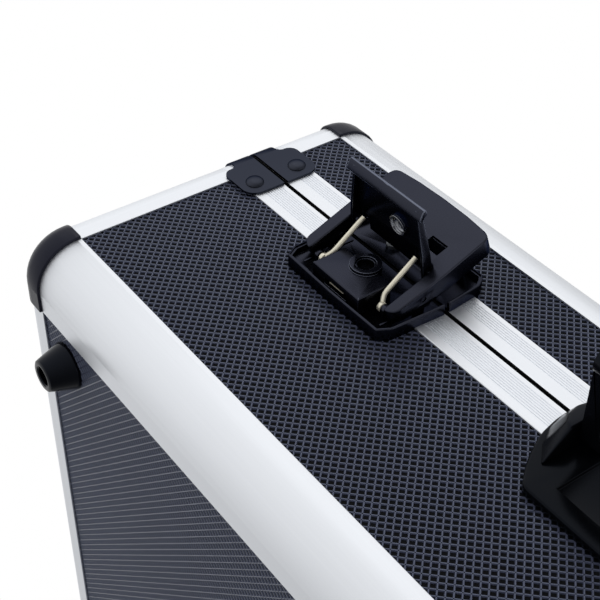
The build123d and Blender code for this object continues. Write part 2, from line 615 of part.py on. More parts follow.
def make_handle():
    """The carrying handle: a plate and two pods on the base, and a grip that folds down over the plate."""
    at = Pos(0, Y_FRONT, Z_SPLIT)
    edge = -0.9
    flank = outline([(HANDLE_LOW_HALF, HANDLE_LOW), (67.4, -31.6), (71.5, -24.0), (74.2, -18.2),
                     (76.3, -8.7), (HANDLE_HALF, edge)])
    plate = prism(flank, "Y", -HANDLE_PLATE, 0)
    plate += prism(flank, "Y", 0, PROUD) - box((-100, -1, -RAIL - 0.3), (100, 2, 1))
    plate -= box((-52, -HANDLE_PLATE - 1, HANDLE_WELL_LOW), (52, -1.6, -5.0))
    save("handle_plate", at * plate)

    inner = HANDLE_ARM_OUT + 0.6
    foot = [(inner, -30.0), (69.8, -22.4), (74.2, -14.0), (76.0, -6.0), (76.0, edge), (inner, edge)]
    top = [(inner, -17.0), (66.0, -15.5), (68.6, -11.5), (69.4, -6.5), (68.2, -2.4), (inner, -2.4)]
    lower = Plane.XZ.offset(HANDLE_PLATE) * make_face(Polyline(*foot, close=True))
    upper = Plane.XZ.offset(POD_TOP) * make_face(Polyline(*top, close=True))
    pod = loft([lower.face(), upper.face()], ruled=True)
    v, w = HANDLE_PIVOT
    pin = rod_x(HANDLE_PIN_RADIUS, HANDLE_ARM_OUT - HANDLE_ARM_THICK + 1.5, 70.0, -v, w)
    pod -= pin
    save("handle_pods", at * pod, at * mirror_x(pod))
    save("handle_pivot_pins", at * pin, at * mirror_x(pin))

    x0, x1 = HANDLE_ARM_OUT - HANDLE_ARM_THICK, HANDLE_ARM_OUT
    wide = HANDLE_ARM_WIDE / 2
    arm = box((x0, -HANDLE_BAR_AT, w - wide), (x1, -v, w + wide)) + rod_x(wide, x0, x1, -v, w)
    arm += rod_x(HANDLE_ARM_END_RADIUS, x0, x1, -HANDLE_BAR_AT, w)
    arm -= rod_x(HANDLE_PIN_RADIUS + RUNNING, x0 - 1, x1 + 1, -v, w)
    save("handle_arms", at * arm, at * mirror_x(arm))
    grip = rod_x(HANDLE_BAR_RADIUS, -x0, x0, -HANDLE_BAR_AT, w)
    save("handle_grip", at * grip)


def hinge_rivets(sign):
    """The rivets of both hinges' leaves on the base (sign -1) or the lid (sign 1)."""
    y, z = Y_BACK + HINGE_LEAF, Z_SPLIT + sign * HINGE_RIVET_RISE
    places = [x + dx for x in (-HINGE_X, HINGE_X) for dx in (-HINGE_RIVET_X, HINGE_RIVET_X)]
    return [rod_y(3.0, y, y + 1.3, x, z) + rod_y(1.6, Y_BACK - PANEL_BACK, y, x, z) for x in places]


def make_hinges():
    """Two leaf hinges on the back, each with its own pin and rivets."""
    y_axis = Y_BACK + HINGE_OUT
    third = (2 * HINGE_HALF) / 3
    base_leaves, lid_leaves, pins = [], [], []
    for x in (-HINGE_X, HINGE_X):
        spans = [(x - HINGE_HALF, x - HINGE_HALF + third - KNUCKLE_GAP),
                 (x - HINGE_HALF + third, x + HINGE_HALF - third),
                 (x + HINGE_HALF - third + KNUCKLE_GAP, x + HINGE_HALF)]

        def leaf(sign, places):
            near, far = Z_SPLIT + sign * (KNUCKLE_RADIUS + 0.5), Z_SPLIT + sign * HINGE_LEAF_RISE
            low, high = sorted((near, far))
            plate = box((x - HINGE_HALF, Y_BACK, low), (x + HINGE_HALF, Y_BACK + HINGE_LEAF, high))
            low, high = sorted((Z_SPLIT + sign, near + sign))
            for x0, x1 in places:
                plate += rod_x(KNUCKLE_RADIUS, x0, x1, y_axis, Z_SPLIT)
                plate += box((x0, Y_BACK, low), (x1, y_axis, high))
            return plate - rod_x(HINGE_PIN_RADIUS + RUNNING, x - 40, x + 40, y_axis, Z_SPLIT)

        base_leaves.append(drilled(leaf(-1, (spans[0], spans[2])), "base"))
        lid_leaves.append(drilled(leaf(1, (spans[1],)), "lid"))
        pins.append(rod_x(HINGE_PIN_RADIUS, x - HINGE_HALF - 0.8, x + HINGE_HALF + 0.8, y_axis, Z_SPLIT))
    save("hinge_base_leaves", *base_leaves)
    save("hinge_lid_leaves", *lid_leaves)
    save("hinge_pins", *pins)
    save("hinge_base_rivets", *hinge_rivets(-1))
    save("hinge_lid_rivets", *hinge_rivets(1))


def drilled(shape, body):
    """A piece of the base or the lid with holes for the fasteners that go through it."""
    for fastener in FASTENERS[body]:
        shape = shape - fastener
    return shape


FASTENERS = {
    "base": clip_rivets(-1) + hinge_rivets(-1) + at_latches([latch_screw()]),
    "lid": clip_rivets(1) + hinge_rivets(1) + at_latches(keeper_screws()),
}
make_edges()
make_rims()
make_panels()
make_latches()
make_handle()
make_hinges()
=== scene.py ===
"""A mixer case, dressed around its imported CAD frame: profiles, textured panels, latches and handle."""

import logging
import math
from dataclasses import dataclass, field
from enum import Enum
from typing import Callable, Iterable, Sequence

import bpy
from mathutils import Matrix, Vector


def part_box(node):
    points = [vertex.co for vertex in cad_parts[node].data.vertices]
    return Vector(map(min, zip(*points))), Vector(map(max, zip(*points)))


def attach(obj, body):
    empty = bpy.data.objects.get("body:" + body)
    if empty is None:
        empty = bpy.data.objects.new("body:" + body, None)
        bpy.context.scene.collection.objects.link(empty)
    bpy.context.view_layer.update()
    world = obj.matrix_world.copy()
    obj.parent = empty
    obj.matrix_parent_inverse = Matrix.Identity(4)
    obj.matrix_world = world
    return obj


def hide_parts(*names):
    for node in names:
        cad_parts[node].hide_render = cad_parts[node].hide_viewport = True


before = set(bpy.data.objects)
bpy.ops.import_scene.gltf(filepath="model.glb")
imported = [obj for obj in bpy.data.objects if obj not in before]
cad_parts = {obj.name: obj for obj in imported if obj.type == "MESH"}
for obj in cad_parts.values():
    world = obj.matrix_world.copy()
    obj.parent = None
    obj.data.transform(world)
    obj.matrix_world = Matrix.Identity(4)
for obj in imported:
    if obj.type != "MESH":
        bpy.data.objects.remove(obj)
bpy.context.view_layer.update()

log = logging.getLogger("mixer_case")
MM = 0.001
LATHE_MERGE = 0.002 * MM
Point = tuple[float, float, float]
Pair = tuple[float, float]

# The case's driving sizes, in metres, read from the frame or repeated from the part.
PROUD = 1.0 * MM
PANEL = 4.0 * MM
HALF_WIDTH = 286.0 * MM
Y_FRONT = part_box("base_front_panel")[0][1] - PROUD
Y_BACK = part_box("base_back_panel")[1][1] + PROUD
Z_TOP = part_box("lid_top_panel")[1][2] + PROUD
Z_SPLIT = 128.0 * MM


class Axis(Enum):
    """The way that a flat outline is pushed out."""

    X = 0
    Y = 1
    Z = 2


def deselect() -> None:
    """Leave edit mode and select nothing."""
    if bpy.context.mode != "OBJECT":
        bpy.ops.object.mode_set(mode="OBJECT")
    bpy.ops.object.select_all(action="DESELECT")


def use(piece: bpy.types.Object) -> bpy.types.Object:
    """Make one object the only selected and the active one.

    Args:
        piece: the object to work on.

    Returns:
        The same object.
    """
    deselect()
    piece.select_set(True)
    bpy.context.view_layer.objects.active = piece
    return piece


def edit(piece: bpy.types.Object, mode: str = "FACE") -> None:
    """Open an object in edit mode with nothing selected.

    Args:
        piece: the object to edit.
        mode: VERT, EDGE or FACE.
    """
    use(piece)
    bpy.ops.object.mode_set(mode="EDIT")
    bpy.ops.mesh.select_mode(type=mode)
    bpy.ops.mesh.select_all(action="DESELECT")


def pick(piece: bpy.types.Object, kind: str, test: Callable[[Vector], bool]) -> int:
    """Select the vertices, edges or faces whose middle passes a test, then reopen edit mode.

    Args:
        piece: the object being edited.
        kind: VERT, EDGE or FACE.
        test: says whether the element at a point is wanted.

    Returns:
        How many were selected.
    """
    bpy.ops.object.mode_set(mode="OBJECT")
    mesh = piece.data
    for group in (mesh.vertices, mesh.edges, mesh.polygons):
        group.foreach_set("select", [False] * len(group))
    if kind == "VERT":
        found = [v for v in mesh.vertices if test(v.co)]
    elif kind == "EDGE":
        corners = mesh.vertices
        found = [e for e in mesh.edges if test((corners[e.vertices[0]].co + corners[e.vertices[1]].co) / 2)]
    else:
        found = [f for f in mesh.polygons if test(f.center)]
    for item in found:
        item.select = True
    bpy.ops.object.mode_set(mode="EDIT")
    bpy.ops.mesh.select_mode(type=kind)
    return len(found)


def modify(piece: bpy.types.Object, kind: str, **settings: object) -> None:
    """Add a modifier and apply it.

    Args:
        piece: the object that gets it.
        kind: the modifier's type.
        settings: its values.
    """
    use(piece)
    modifier = piece.modifiers.new(kind.lower(), kind)
    for name, value in settings.items():
        setattr(modifier, name, value)
    bpy.ops.object.modifier_apply(modifier=modifier.name)


def outward(piece: bpy.types.Object, merge: float = 0.00001) -> None:
    """Merge doubles and turn all faces outwards.

    Args:
        piece: the object to clean.
        merge: the distance under which vertices become one.
    """
    edit(piece)
    bpy.ops.mesh.select_all(action="SELECT")
    bpy.ops.mesh.remove_doubles(threshold=merge)
    bpy.ops.mesh.normals_make_consistent(inside=False)
    deselect()


def smooth(piece: bpy.types.Object, degrees: float = 35.0) -> None:
    """Shade round stretches smooth and keep sharper edges than an angle."""
    use(piece)
    bpy.ops.object.shade_smooth_by_angle(angle=math.radians(degrees))


def soften(piece: bpy.types.Object, width: float, segments: int = 2, degrees: float = 30.0,
           slot: int = -1) -> None:
    """Bevel the sharp edges.

    Args:
        piece: the object to soften.
        width: the bevel's width.
        segments: how many steps it has.
        degrees: edges that turn more than this are bevelled.
        slot: the material slot of the bevel's faces, where it isn't that of their neighbours.
    """
    modify(piece, "BEVEL", width=width, segments=segments, limit_method="ANGLE",
           angle_limit=math.radians(degrees), use_clamp_overlap=True, material=slot)
    smooth(piece)


def block(name: str, low: Sequence[float], high: Sequence[float]) -> bpy.types.Object:
    """A box between two corners, as a start for a piece.

    Args:
        name: the object's name.
        low: its lowest corner.
        high: its highest corner.

    Returns:
        The new object, at the origin.
    """
    deselect()
    middle = [(a + b) / 2 for a, b in zip(low, high)]
    bpy.ops.mesh.primitive_cube_add(size=1, location=middle, scale=[b - a for a, b in zip(low, high)])
    bpy.ops.object.transform_apply(location=True, rotation=True, scale=True)
    bpy.context.object.name = name
    return bpy.context.object


def rod(name: str, start: Sequence[float], end: Sequence[float], radius: float, sides: int = 32,
        tip: float | None = None) -> bpy.types.Object:
    """A round bar, or a cone, from one point to another.

    Args:
        name: the object's name.
        start: the middle of its first end.
        end: the middle of its last end.
        radius: its radius at the start.
        sides: how many sides it has.
        tip: its radius at the end, where it differs.

    Returns:
        The new object, at the origin.
    """
    deselect()
    a, b = Vector(start), Vector(end)
    turn = (b - a).to_track_quat("Z", "Y").to_euler()
    bpy.ops.mesh.primitive_cone_add(vertices=sides, radius1=radius, radius2=radius if tip is None else tip,
                                    depth=(b - a).length, location=(a + b) / 2, rotation=turn)
    bpy.ops.object.transform_apply(location=True, rotation=True, scale=True)
    bpy.context.object.name = name
    return bpy.context.object


def plate(name: str, outline: Sequence[Pair], axis: Axis, start: float, end: float) -> bpy.types.Object:
    """A flat outline pushed out along an axis.

    Args:
        name: the object's name.
        outline: points on the other two axes, in X, Y, Z order.
        axis: the way it is pushed.
        start: where the first face lies on that axis.
        end: where the last face lies.

    Returns:
        The new object, at the origin, with its faces outwards.
    """
    deselect()
    bpy.ops.mesh.primitive_circle_add(vertices=len(outline), fill_type="NGON")
    piece = bpy.context.object
    piece.name = name
    others = [i for i in range(3) if i != axis.value]
    for vertex, (a, b) in zip(piece.data.vertices, outline):
        vertex.co[axis.value], vertex.co[others[0]], vertex.co[others[1]] = start, a, b
    edit(piece)
    bpy.ops.mesh.select_all(action="SELECT")
    way = [0.0, 0.0, 0.0]
    way[axis.value] = end - start
    bpy.ops.mesh.extrude_region_move(TRANSFORM_OT_translate={"value": way})
    bpy.ops.mesh.select_all(action="SELECT")
    bpy.ops.mesh.normals_make_consistent(inside=False)
    deselect()
    return piece


def copied(piece: bpy.types.Object) -> bpy.types.Object:
    """A copy of a piece, with its own mesh."""
    copy = piece.copy()
    copy.data = piece.data.copy()
    bpy.context.collection.objects.link(copy)
    return copy


def mirrored(piece: bpy.types.Object, across: Axis = Axis.X, at: float = 0.0) -> bpy.types.Object:
    """A copy of a piece on the other side of a plane.

    Args:
        piece: the object to copy.
        across: the axis that the plane stands across.
        at: where the plane lies on it.

    Returns:
        The copy, with its faces outwards.
    """
    copy = copied(piece)
    for vertex in copy.data.vertices:
        vertex.co[across.value] = 2 * at - vertex.co[across.value]
    copy.data.flip_normals()
    return copy


def moved(piece: bpy.types.Object, shift: Sequence[float]) -> bpy.types.Object:
    """Move a piece and put its place and its turn in its mesh.

    Args:
        piece: the object to move.
        shift: how far, in metres.

    Returns:
        The same object.
    """
    use(piece)
    piece.location = shift
    bpy.ops.object.transform_apply(location=True, rotation=True, scale=True)
    return piece


def turned(piece: bpy.types.Object, middle: Sequence[float], degrees: float,
           axis: str = "X") -> bpy.types.Object:
    """Turn a piece about a line through a point.

    Args:
        piece: the object to turn.
        middle: a point on the line.
        degrees: how far, by the right-hand rule.
        axis: the line's direction.

    Returns:
        The same object, with its place in its mesh.
    """
    for vertex in piece.data.vertices:
        vertex.co -= Vector(middle)
    piece.rotation_euler["XYZ".index(axis)] = math.radians(degrees)
    return moved(piece, middle)


def joined(name: str, pieces: Iterable[bpy.types.Object]) -> bpy.types.Object:
    """Join objects into one.

    Args:
        name: the name of the whole.
        pieces: the objects to join.

    Returns:
        The joined object.
    """
    pieces = list(pieces)
    deselect()
    for piece in pieces:
        piece.select_set(True)
    bpy.context.view_layer.objects.active = pieces[0]
    if len(pieces) > 1:
        bpy.ops.object.join()
    bpy.context.object.name = name
    return bpy.context.object


def cut(piece: bpy.types.Object, *tools: bpy.types.Object, how: str = "DIFFERENCE") -> None:
    """Take tools away from a piece, or combine them with it, and delete the tools.

    Args:
        piece: the object that is changed.
        tools: the objects that cut it.
        how: DIFFERENCE, UNION or INTERSECT.
    """
    for tool in tools:
        modify(piece, "BOOLEAN", object=tool, operation=how, solver="EXACT")
        bpy.data.objects.remove(tool)


def rounded(points: Sequence[Pair], radius: float, steps: int = 4) -> list[Pair]:
    """An outline with curved corners.

    Args:
        points: its corners in order.
        radius: how far from a corner the curve starts, where the sides leave room.
        steps: how many steps each curve has.

    Returns:
        The finer outline.
    """
    finer: list[Pair] = []
    for number, corner in enumerate(points):
        here = Vector(corner)
        back = Vector(points[number - 1]) - here
        ahead = Vector(points[(number + 1) % len(points)]) - here
        if back.angle(ahead) > math.radians(176):
            finer.append((here.x, here.y))
            continue
        reach = min(radius, 0.45 * back.length, 0.45 * ahead.length)
        start, end = here + back.normalized() * reach, here + ahead.normalized() * reach
        for step in range(steps + 1):
            part = step / steps
            point = start * (1 - part) ** 2 + here * 2 * part * (1 - part) + end * part ** 2
            finer.append((point.x, point.y))
    return finer


def both_sides(points: Sequence[Pair]) -> list[Pair]:
    """A closed outline from its right half."""
    return list(points) + [(-x, z) for x, z in reversed(points) if x != 0]


def shrunk(points: Sequence[Pair], inset: float, open_up: bool = False) -> list[Pair]:
    """An outline drawn in by the same amount all round.

    Args:
        points: a closed outline, turning either way.
        inset: how far each side moves in.
        open_up: leave the sides that lie along the split where they are, and push them past it.

    Returns:
        The corners of the smaller outline.
    """
    count = len(points)
    turn = sum(a[0] * b[1] - b[0] * a[1] for a, b in zip(points, [*points[1:], points[0]]))
    way = 1.0 if turn > 0 else -1.0
    sides = []
    for number in range(count):
        a, b = Vector(points[number]), Vector(points[(number + 1) % count])
        along = (b - a).normalized()
        flat = open_up and abs(a.y) < 1.5 and abs(b.y) < 1.5
        shift = Vector((-along.y, along.x)) * way * (-2.0 if flat else inset)
        sides.append((a + shift, along))
    corners: list[Pair] = []
    for number in range(count):
        (a, u), (b, v) = sides[number - 1], sides[number]
        cross = u.x * v.y - u.y * v.x
        if abs(cross) < 0.001:
            corners.append((b.x, b.y))
            continue
        reach = ((b.x - a.x) * v.y - (b.y - a.y) * v.x) / cross
        corners.append((a.x + u.x * reach, a.y + u.y * reach))
    return corners


def lathed(name: str, profile: Sequence[Pair], radius: float, height: float,
           steps: int = 40) -> bpy.types.Object:
    """A shape turned about Z from its profile.

    Args:
        name: the object's name.
        profile: points as (distance from the axis, height), from one end of the axis to the other.
        radius: what a distance of 1 measures.
        height: what a height of 1 measures.
        steps: how many sides it has.

    Returns:
        The new object, closed, with its faces outwards.
    """
    deselect()
    bpy.ops.mesh.primitive_circle_add(vertices=len(profile), fill_type="NOTHING")
    piece = bpy.context.object
    piece.name = name
    for vertex, (r, h) in zip(piece.data.vertices, profile):
        vertex.co = (r * radius, 0.0, h * height)
    edit(piece, "EDGE")
    pick(piece, "EDGE", lambda c: abs(c.x) < 0.000001)
    bpy.ops.mesh.delete(type="EDGE")
    deselect()
    modify(piece, "SCREW", angle=2 * math.pi, steps=steps, render_steps=steps, axis="Z",
           use_merge_vertices=True, merge_threshold=LATHE_MERGE)
    outward(piece, LATHE_MERGE)
    smooth(piece, 38.0)
    return piece


def srgb(red: float, green: float, blue: float) -> tuple[float, float, float, float]:
    """A colour given as 0 to 255 on screen, as Blender's linear values."""
    def linear(value: float) -> float:
        """One channel, from 0 to 255, as a linear value."""
        part = value / 255
        return part / 12.92 if part <= 0.04045 else ((part + 0.055) / 1.055) ** 2.4
    return linear(red), linear(green), linear(blue), 1.0


def fill(tree: bpy.types.NodeTree, node: bpy.types.Node, inputs: dict[str | int, object]) -> None:
    """Set or link a node's inputs.

    Args:
        tree: the tree that the node is in.
        node: the node.
        inputs: by name or number, a value or the socket that it comes from.
    """
    for key, value in inputs.items():
        if isinstance(value, bpy.types.NodeSocket):
            tree.links.new(value, node.inputs[key])
        else:
            node.inputs[key].default_value = value


def added(tree: bpy.types.NodeTree, kind: str, inputs: dict[str | int, object],
          operation: str = "") -> bpy.types.bpy_prop_collection:
    """Add a node with its inputs.

    Args:
        tree: the tree that it goes in.
        kind: what follows ShaderNode in its type.
        inputs: by name or number, a value or the socket that it comes from.
        operation: what a math node does.

    Returns:
        The node's outputs.
    """
    node = tree.nodes.new(f"ShaderNode{kind}")
    if operation:
        node.operation = operation
    fill(tree, node, inputs)
    return node.outputs


class Effects:
    """Shader node groups that several finishes share, each built once."""

    made: dict[str, bpy.types.NodeTree] = {}

    @classmethod
    def group(cls, name: str, inputs: dict[str, str], outputs: dict[str, str]) -> bpy.types.NodeTree:
        """A new, empty group with its sockets.

        Args:
            name: the group's name.
            inputs: the inputs' names and socket kinds.
            outputs: the outputs' names and socket kinds.

        Returns:
            The group's node tree.
        """
        tree = bpy.data.node_groups.new(name, "ShaderNodeTree")
        for way, sockets in (("INPUT", inputs), ("OUTPUT", outputs)):
            for label, kind in sockets.items():
                tree.interface.new_socket(name=label, in_out=way, socket_type=f"NodeSocket{kind}")
        cls.made[name] = tree
        return tree

    @classmethod
    def grain(cls) -> bpy.types.NodeTree:
        """Fine mottling: a colour that varies, a roughness that varies with it, and a height.

        Returns:
            The group's node tree.
        """
        if "grain" in cls.made:
            return cls.made["grain"]
        tree = cls.group("grain", {"Vector": "Vector", "Colour": "Color", "Scale": "Float",
                                   "Mottle": "Float", "Roughness": "Float"},
                         {"Colour": "Color", "Roughness": "Float", "Height": "Float"})
        start = tree.nodes.new("NodeGroupInput").outputs
        fine = added(tree, "TexNoise", {"Vector": start["Vector"], "Scale": start["Scale"], "Detail": 3.0})
        broad = added(tree, "TexNoise", {"Vector": start["Vector"], "Scale": 14.0, "Detail": 2.0})
        blend = added(tree, "Math", {0: fine["Fac"], 1: broad["Fac"]}, "ADD")
        centred = added(tree, "Math", {0: blend[0], 1: 1.0}, "SUBTRACT")
        amount = added(tree, "Math", {0: centred[0], 1: start["Mottle"]}, "MULTIPLY")
        gain = added(tree, "Math", {0: amount[0], 1: 1.0}, "ADD")
        rough = added(tree, "Math", {0: start["Roughness"], 1: gain[0]}, "MULTIPLY")
        rough[0].node.use_clamp = True
        tint = added(tree, "VectorMath", {0: start["Colour"], "Scale": gain[0]}, "SCALE")
        fill(tree, tree.nodes.new("NodeGroupOutput"),
             {"Colour": tint[0], "Roughness": rough[0], "Height": fine["Fac"]})
        return tree


@dataclass(frozen=True)
class Finish:
    """One surface finish: its colour, its gloss and the fine grain that both vary with."""

    name: str
    colour: tuple[float, float, float, float]
    roughness: float
    metallic: float = 0.0
    grain: float = 900.0
    mottle: float = 0.15
    relief: float = 0.15
    depth: float = 0.0001
    stretch: Point = (1.0, 1.0, 1.0)
    specular: float = 0.5
    tint: tuple[float, float, float, float] = (1.0, 1.0, 1.0, 1.0)

    def material(self) -> bpy.types.Material:
        """Make the finish's material the first time that it is asked for.

        Returns:
            The material.
        """
        name = f"{self.name}_finish"
        found = bpy.data.materials.get(name)
        if found:
            return found
        material = bpy.data.materials.new(name)
        material.use_nodes = True
        tree = material.node_tree
        where = added(tree, "TexCoord", {})
        mapping = added(tree, "Mapping", {"Vector": where["Object"], "Scale": self.stretch})
        group = tree.nodes.new("ShaderNodeGroup")
        group.node_tree = Effects.grain()
        fill(tree, group, {"Vector": mapping["Vector"], "Colour": self.colour, "Scale": self.grain,
                           "Mottle": self.mottle, "Roughness": self.roughness})
        grain = group.outputs
        bump = added(tree, "Bump", {"Height": grain["Height"], "Strength": self.relief,
                                    "Distance": self.depth})
        fill(tree, tree.nodes["Principled BSDF"],
             {"Metallic": self.metallic, "Specular IOR Level": self.specular, "Specular Tint": self.tint,
              "Base Color": grain["Colour"], "Roughness": grain["Roughness"], "Normal": bump["Normal"]})
        return material


DRAWN = 0.012
COOL = srgb(205, 218, 245)
DEEP = (0.34, 0.345, 0.365, 1.0)
ALUMINIUM_X, ALUMINIUM_Y, ALUMINIUM_Z = (
    Finish(f"satin_aluminium_along_{way}", srgb(240, 243, 248), 0.42, 1.0, 1500.0, 0.05, 0.10,
           stretch=tuple(DRAWN if axis == way else 1.0 for axis in "xyz")) for way in "xyz")
RIDGE = Finish("panel_ridge", srgb(68, 72, 91), 0.24, 0.0, 2600.0, 0.3, 0.2, specular=0.95, tint=COOL)
# Near-black for the slab between the ridges: painted shade in the pits.
PIT_PAINTED_SHADE = Finish("panel_pit_painted_shade", srgb(4, 5, 9), 0.8, 0.0, 2600.0, 0.3, 0.2, specular=0.15)
# Near-black for the rails' faces at the split: painted shade in the gap between base and lid.
SPLIT_SHADE = Finish("split_painted_shade", srgb(8, 9, 12), 0.8, 0.0, 1500.0, 0.2, 0.2, specular=0.15)
CAP = Finish("cap_plastic", srgb(33, 33, 43), 0.24, 0.0, 1400.0, 0.12, 0.08, specular=0.17, tint=COOL)
CLIP = Finish("clip_steel", srgb(61, 64, 74), 0.30, 1.0, 1600.0, 0.18, 0.12, tint=DEEP)
LATCH = Finish("latch_black", srgb(55, 57, 67), 0.27, 1.0, 1500.0, 0.15, 0.10, tint=DEEP)
# A lighter colour for the latch's bevels: a painted highlight along its edges.
LATCH_EDGE_HIGHLIGHT = Finish("latch_edge_painted_highlight", srgb(112, 117, 132), 0.30, 1.0, 1500.0, 0.10, 0.10, tint=DEEP)
WIRE = Finish("link_wire", srgb(246, 240, 220), 0.32, 0.6, 900.0, 0.1, 0.1)
BARREL = Finish("lock_barrel", srgb(190, 192, 196), 0.18, 1.0, 900.0, 0.15, 0.1)
POD = Finish("handle_plastic", srgb(6, 7, 10), 0.26, 0.0, 1300.0, 0.12, 0.10, specular=0.17, tint=COOL)
PLATE = Finish("handle_plate_black", srgb(4, 5, 7), 0.20, 0.0, 1300.0, 0.12, 0.06, specular=0.12, tint=COOL)
GRIP = Finish("grip_rubber", srgb(7, 7, 9), 0.5, 0.0, 1800.0, 0.25, 0.3, specular=0.08, tint=COOL)
FOOT = Finish("foot_rubber", srgb(4, 4, 7), 0.12, 0.0, 900.0, 0.08, 0.02, specular=0.22, tint=COOL)
SCREW = Finish("screw_steel", srgb(140, 144, 150), 0.32, 0.9, 1200.0, 0.15, 0.1)
HINGE = Finish("hinge_steel", srgb(172, 175, 180), 0.34, 0.9, 1200.0, 0.12, 0.1)
FOAM = Finish("foam", srgb(48, 48, 53), 0.95, 0.0, 1100.0, 0.55, 1.0, depth=0.0006, specular=0.2)


class Slot(Enum):
    """The record's material slots that the scene's own pieces belong to."""

    ALUMINIUM = "aluminium"
    PANEL = "panel"
    CLIP = "clip_steel"
    LATCH = "latch_black"
    WIRE = "link_wire"
    BARREL = "lock_brass"
    HANDLE = "handle_plastic"
    GRIP = "grip_rubber"
    FOOT = "foot_rubber"
    FOAM = "foam"


def dress(piece: bpy.types.Object, *finishes: Finish) -> None:
    """Give an object its materials, in the order of its faces' slots."""
    piece.data.materials.clear()
    for finish in finishes:
        piece.data.materials.append(finish.material())


def place(piece: bpy.types.Object, body: str, slot: Slot, *nodes: str) -> bpy.types.Object:
    """Let a finished piece ride on its body and stand for its nodes.

    Args:
        piece: the finished object.
        body: the CAD body that it moves with.
        slot: not used.
        nodes: the CAD nodes that it is shown in place of.

    Returns:
        The same object.
    """
    deselect()
    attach(piece, body)
    if nodes:
        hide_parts(*nodes)
    log.info("%s rides on %s", piece.name, body)
    return piece


@dataclass
class Stage:
    """The floor, the lamps, the world and the camera."""

    camera_at: Point = (0.1313, -0.5169, -0.1488)
    looks: Point = (-0.617, 0.640, 0.457)
    up: Point = (-0.523, -0.768, 0.369)
    lens: float = 77.2
    key: float = 2.8
    fill: float = 4.0
    brighter_from: Point = (-0.85, -0.45, -0.05)
    sky: Pair = (0.25, 1.16)

    def build(self) -> None:
        """Make everything that isn't part of the object."""
        bpy.context.scene.view_settings.view_transform = "Standard"
        self.floor()
        self.world()
        self.lamps()
        self.camera()

    def floor(self) -> None:
        """A pale floor that is seen from above and not from below."""
        deselect()
        bpy.ops.mesh.primitive_plane_add(size=60, location=(0, 0, -0.0003))
        floor = bpy.context.object
        floor.name = "floor"
        material = bpy.data.materials.new("pale_floor")
        material.use_nodes = True
        tree = material.node_tree
        shader = tree.nodes["Principled BSDF"]
        fill(tree, shader, {"Base Color": srgb(236, 236, 238), "Roughness": 0.9})
        side, clear = added(tree, "NewGeometry", {}), added(tree, "BsdfTransparent", {})
        mix = added(tree, "MixShader", {"Fac": side["Backfacing"], 1: shader.outputs["BSDF"],
                                        2: clear["BSDF"]})
        fill(tree, tree.nodes["Material Output"], {"Surface": mix["Shader"]})
        floor.data.materials.append(material)
        floor.visible_shadow = False
        floor.visible_diffuse = False
        floor.visible_glossy = False

    def world(self) -> None:
        """White to the camera; soft and a little brighter from above the front to the object."""
        world = bpy.data.worlds.new("studio")
        bpy.context.scene.world = world
        world.use_nodes = True
        tree = world.node_tree
        seen = tree.nodes["Background"]
        fill(tree, seen, {"Color": (1, 1, 1, 1), "Strength": 1.0})
        way = added(tree, "TexCoord", {})
        bright = Vector(self.brighter_from).normalized()
        towards = added(tree, "VectorMath", {0: way["Generated"], 1: bright}, "DOT_PRODUCT")
        low, high = self.sky
        ramp = added(tree, "MapRange", {"Value": towards["Value"], "From Min": -1.0, "From Max": 1.0,
                                        "To Min": low, "To Max": high})
        light = added(tree, "Background", {"Strength": ramp["Result"]})
        ray = added(tree, "LightPath", {})
        mix = added(tree, "MixShader", {"Fac": ray["Is Camera Ray"], 1: light["Background"],
                                        2: seen.outputs["Background"]})
        fill(tree, tree.nodes["World Output"], {"Surface": mix["Shader"]})

    def lamp(self, name: str, at: Point, energy: float, size: float) -> None:
        """A square soft lamp that points at the case.

        Args:
            name: the lamp's name.
            at: where it hangs.
            energy: its power in watts.
            size: its side in metres.
        """
        data = bpy.data.lights.new(name, "AREA")
        data.energy = energy
        data.size = size
        lamp = bpy.data.objects.new(name, data)
        bpy.context.collection.objects.link(lamp)
        lamp.location = at
        lamp.rotation_euler = (Vector((-0.1, 0, 0.1)) - Vector(at)).to_track_quat("-Z", "Y").to_euler()

    def lamps(self) -> None:
        """A key above the front, and fills all round."""
        self.lamp("key", (-0.7, -1.5, 0.9), self.key, 2.0)
        self.lamp("top_fill", (0.5, 0.6, 1.7), self.fill, 1.2)
        self.lamp("back_fill", (-0.9, 1.7, 0.6), self.fill, 1.2)
        self.lamp("side_fill", (1.7, -0.3, 0.5), self.fill, 1.2)

    def camera(self) -> None:
        """The camera at the photograph's view."""
        data = bpy.data.cameras.new("camera")
        data.lens = self.lens
        data.sensor_width = 36.0
        data.clip_start = 0.01
        camera = bpy.data.objects.new("camera", data)
        bpy.context.collection.objects.link(camera)
        back = -Vector(self.looks).normalized()
        right = Vector(self.up).cross(back).normalized()
        above = back.cross(right)
        bpy.context.scene.camera = camera
        turn = Matrix((right, above, back)).transposed().to_4x4()
        camera.matrix_world = Matrix.Translation(self.camera_at) @ turn


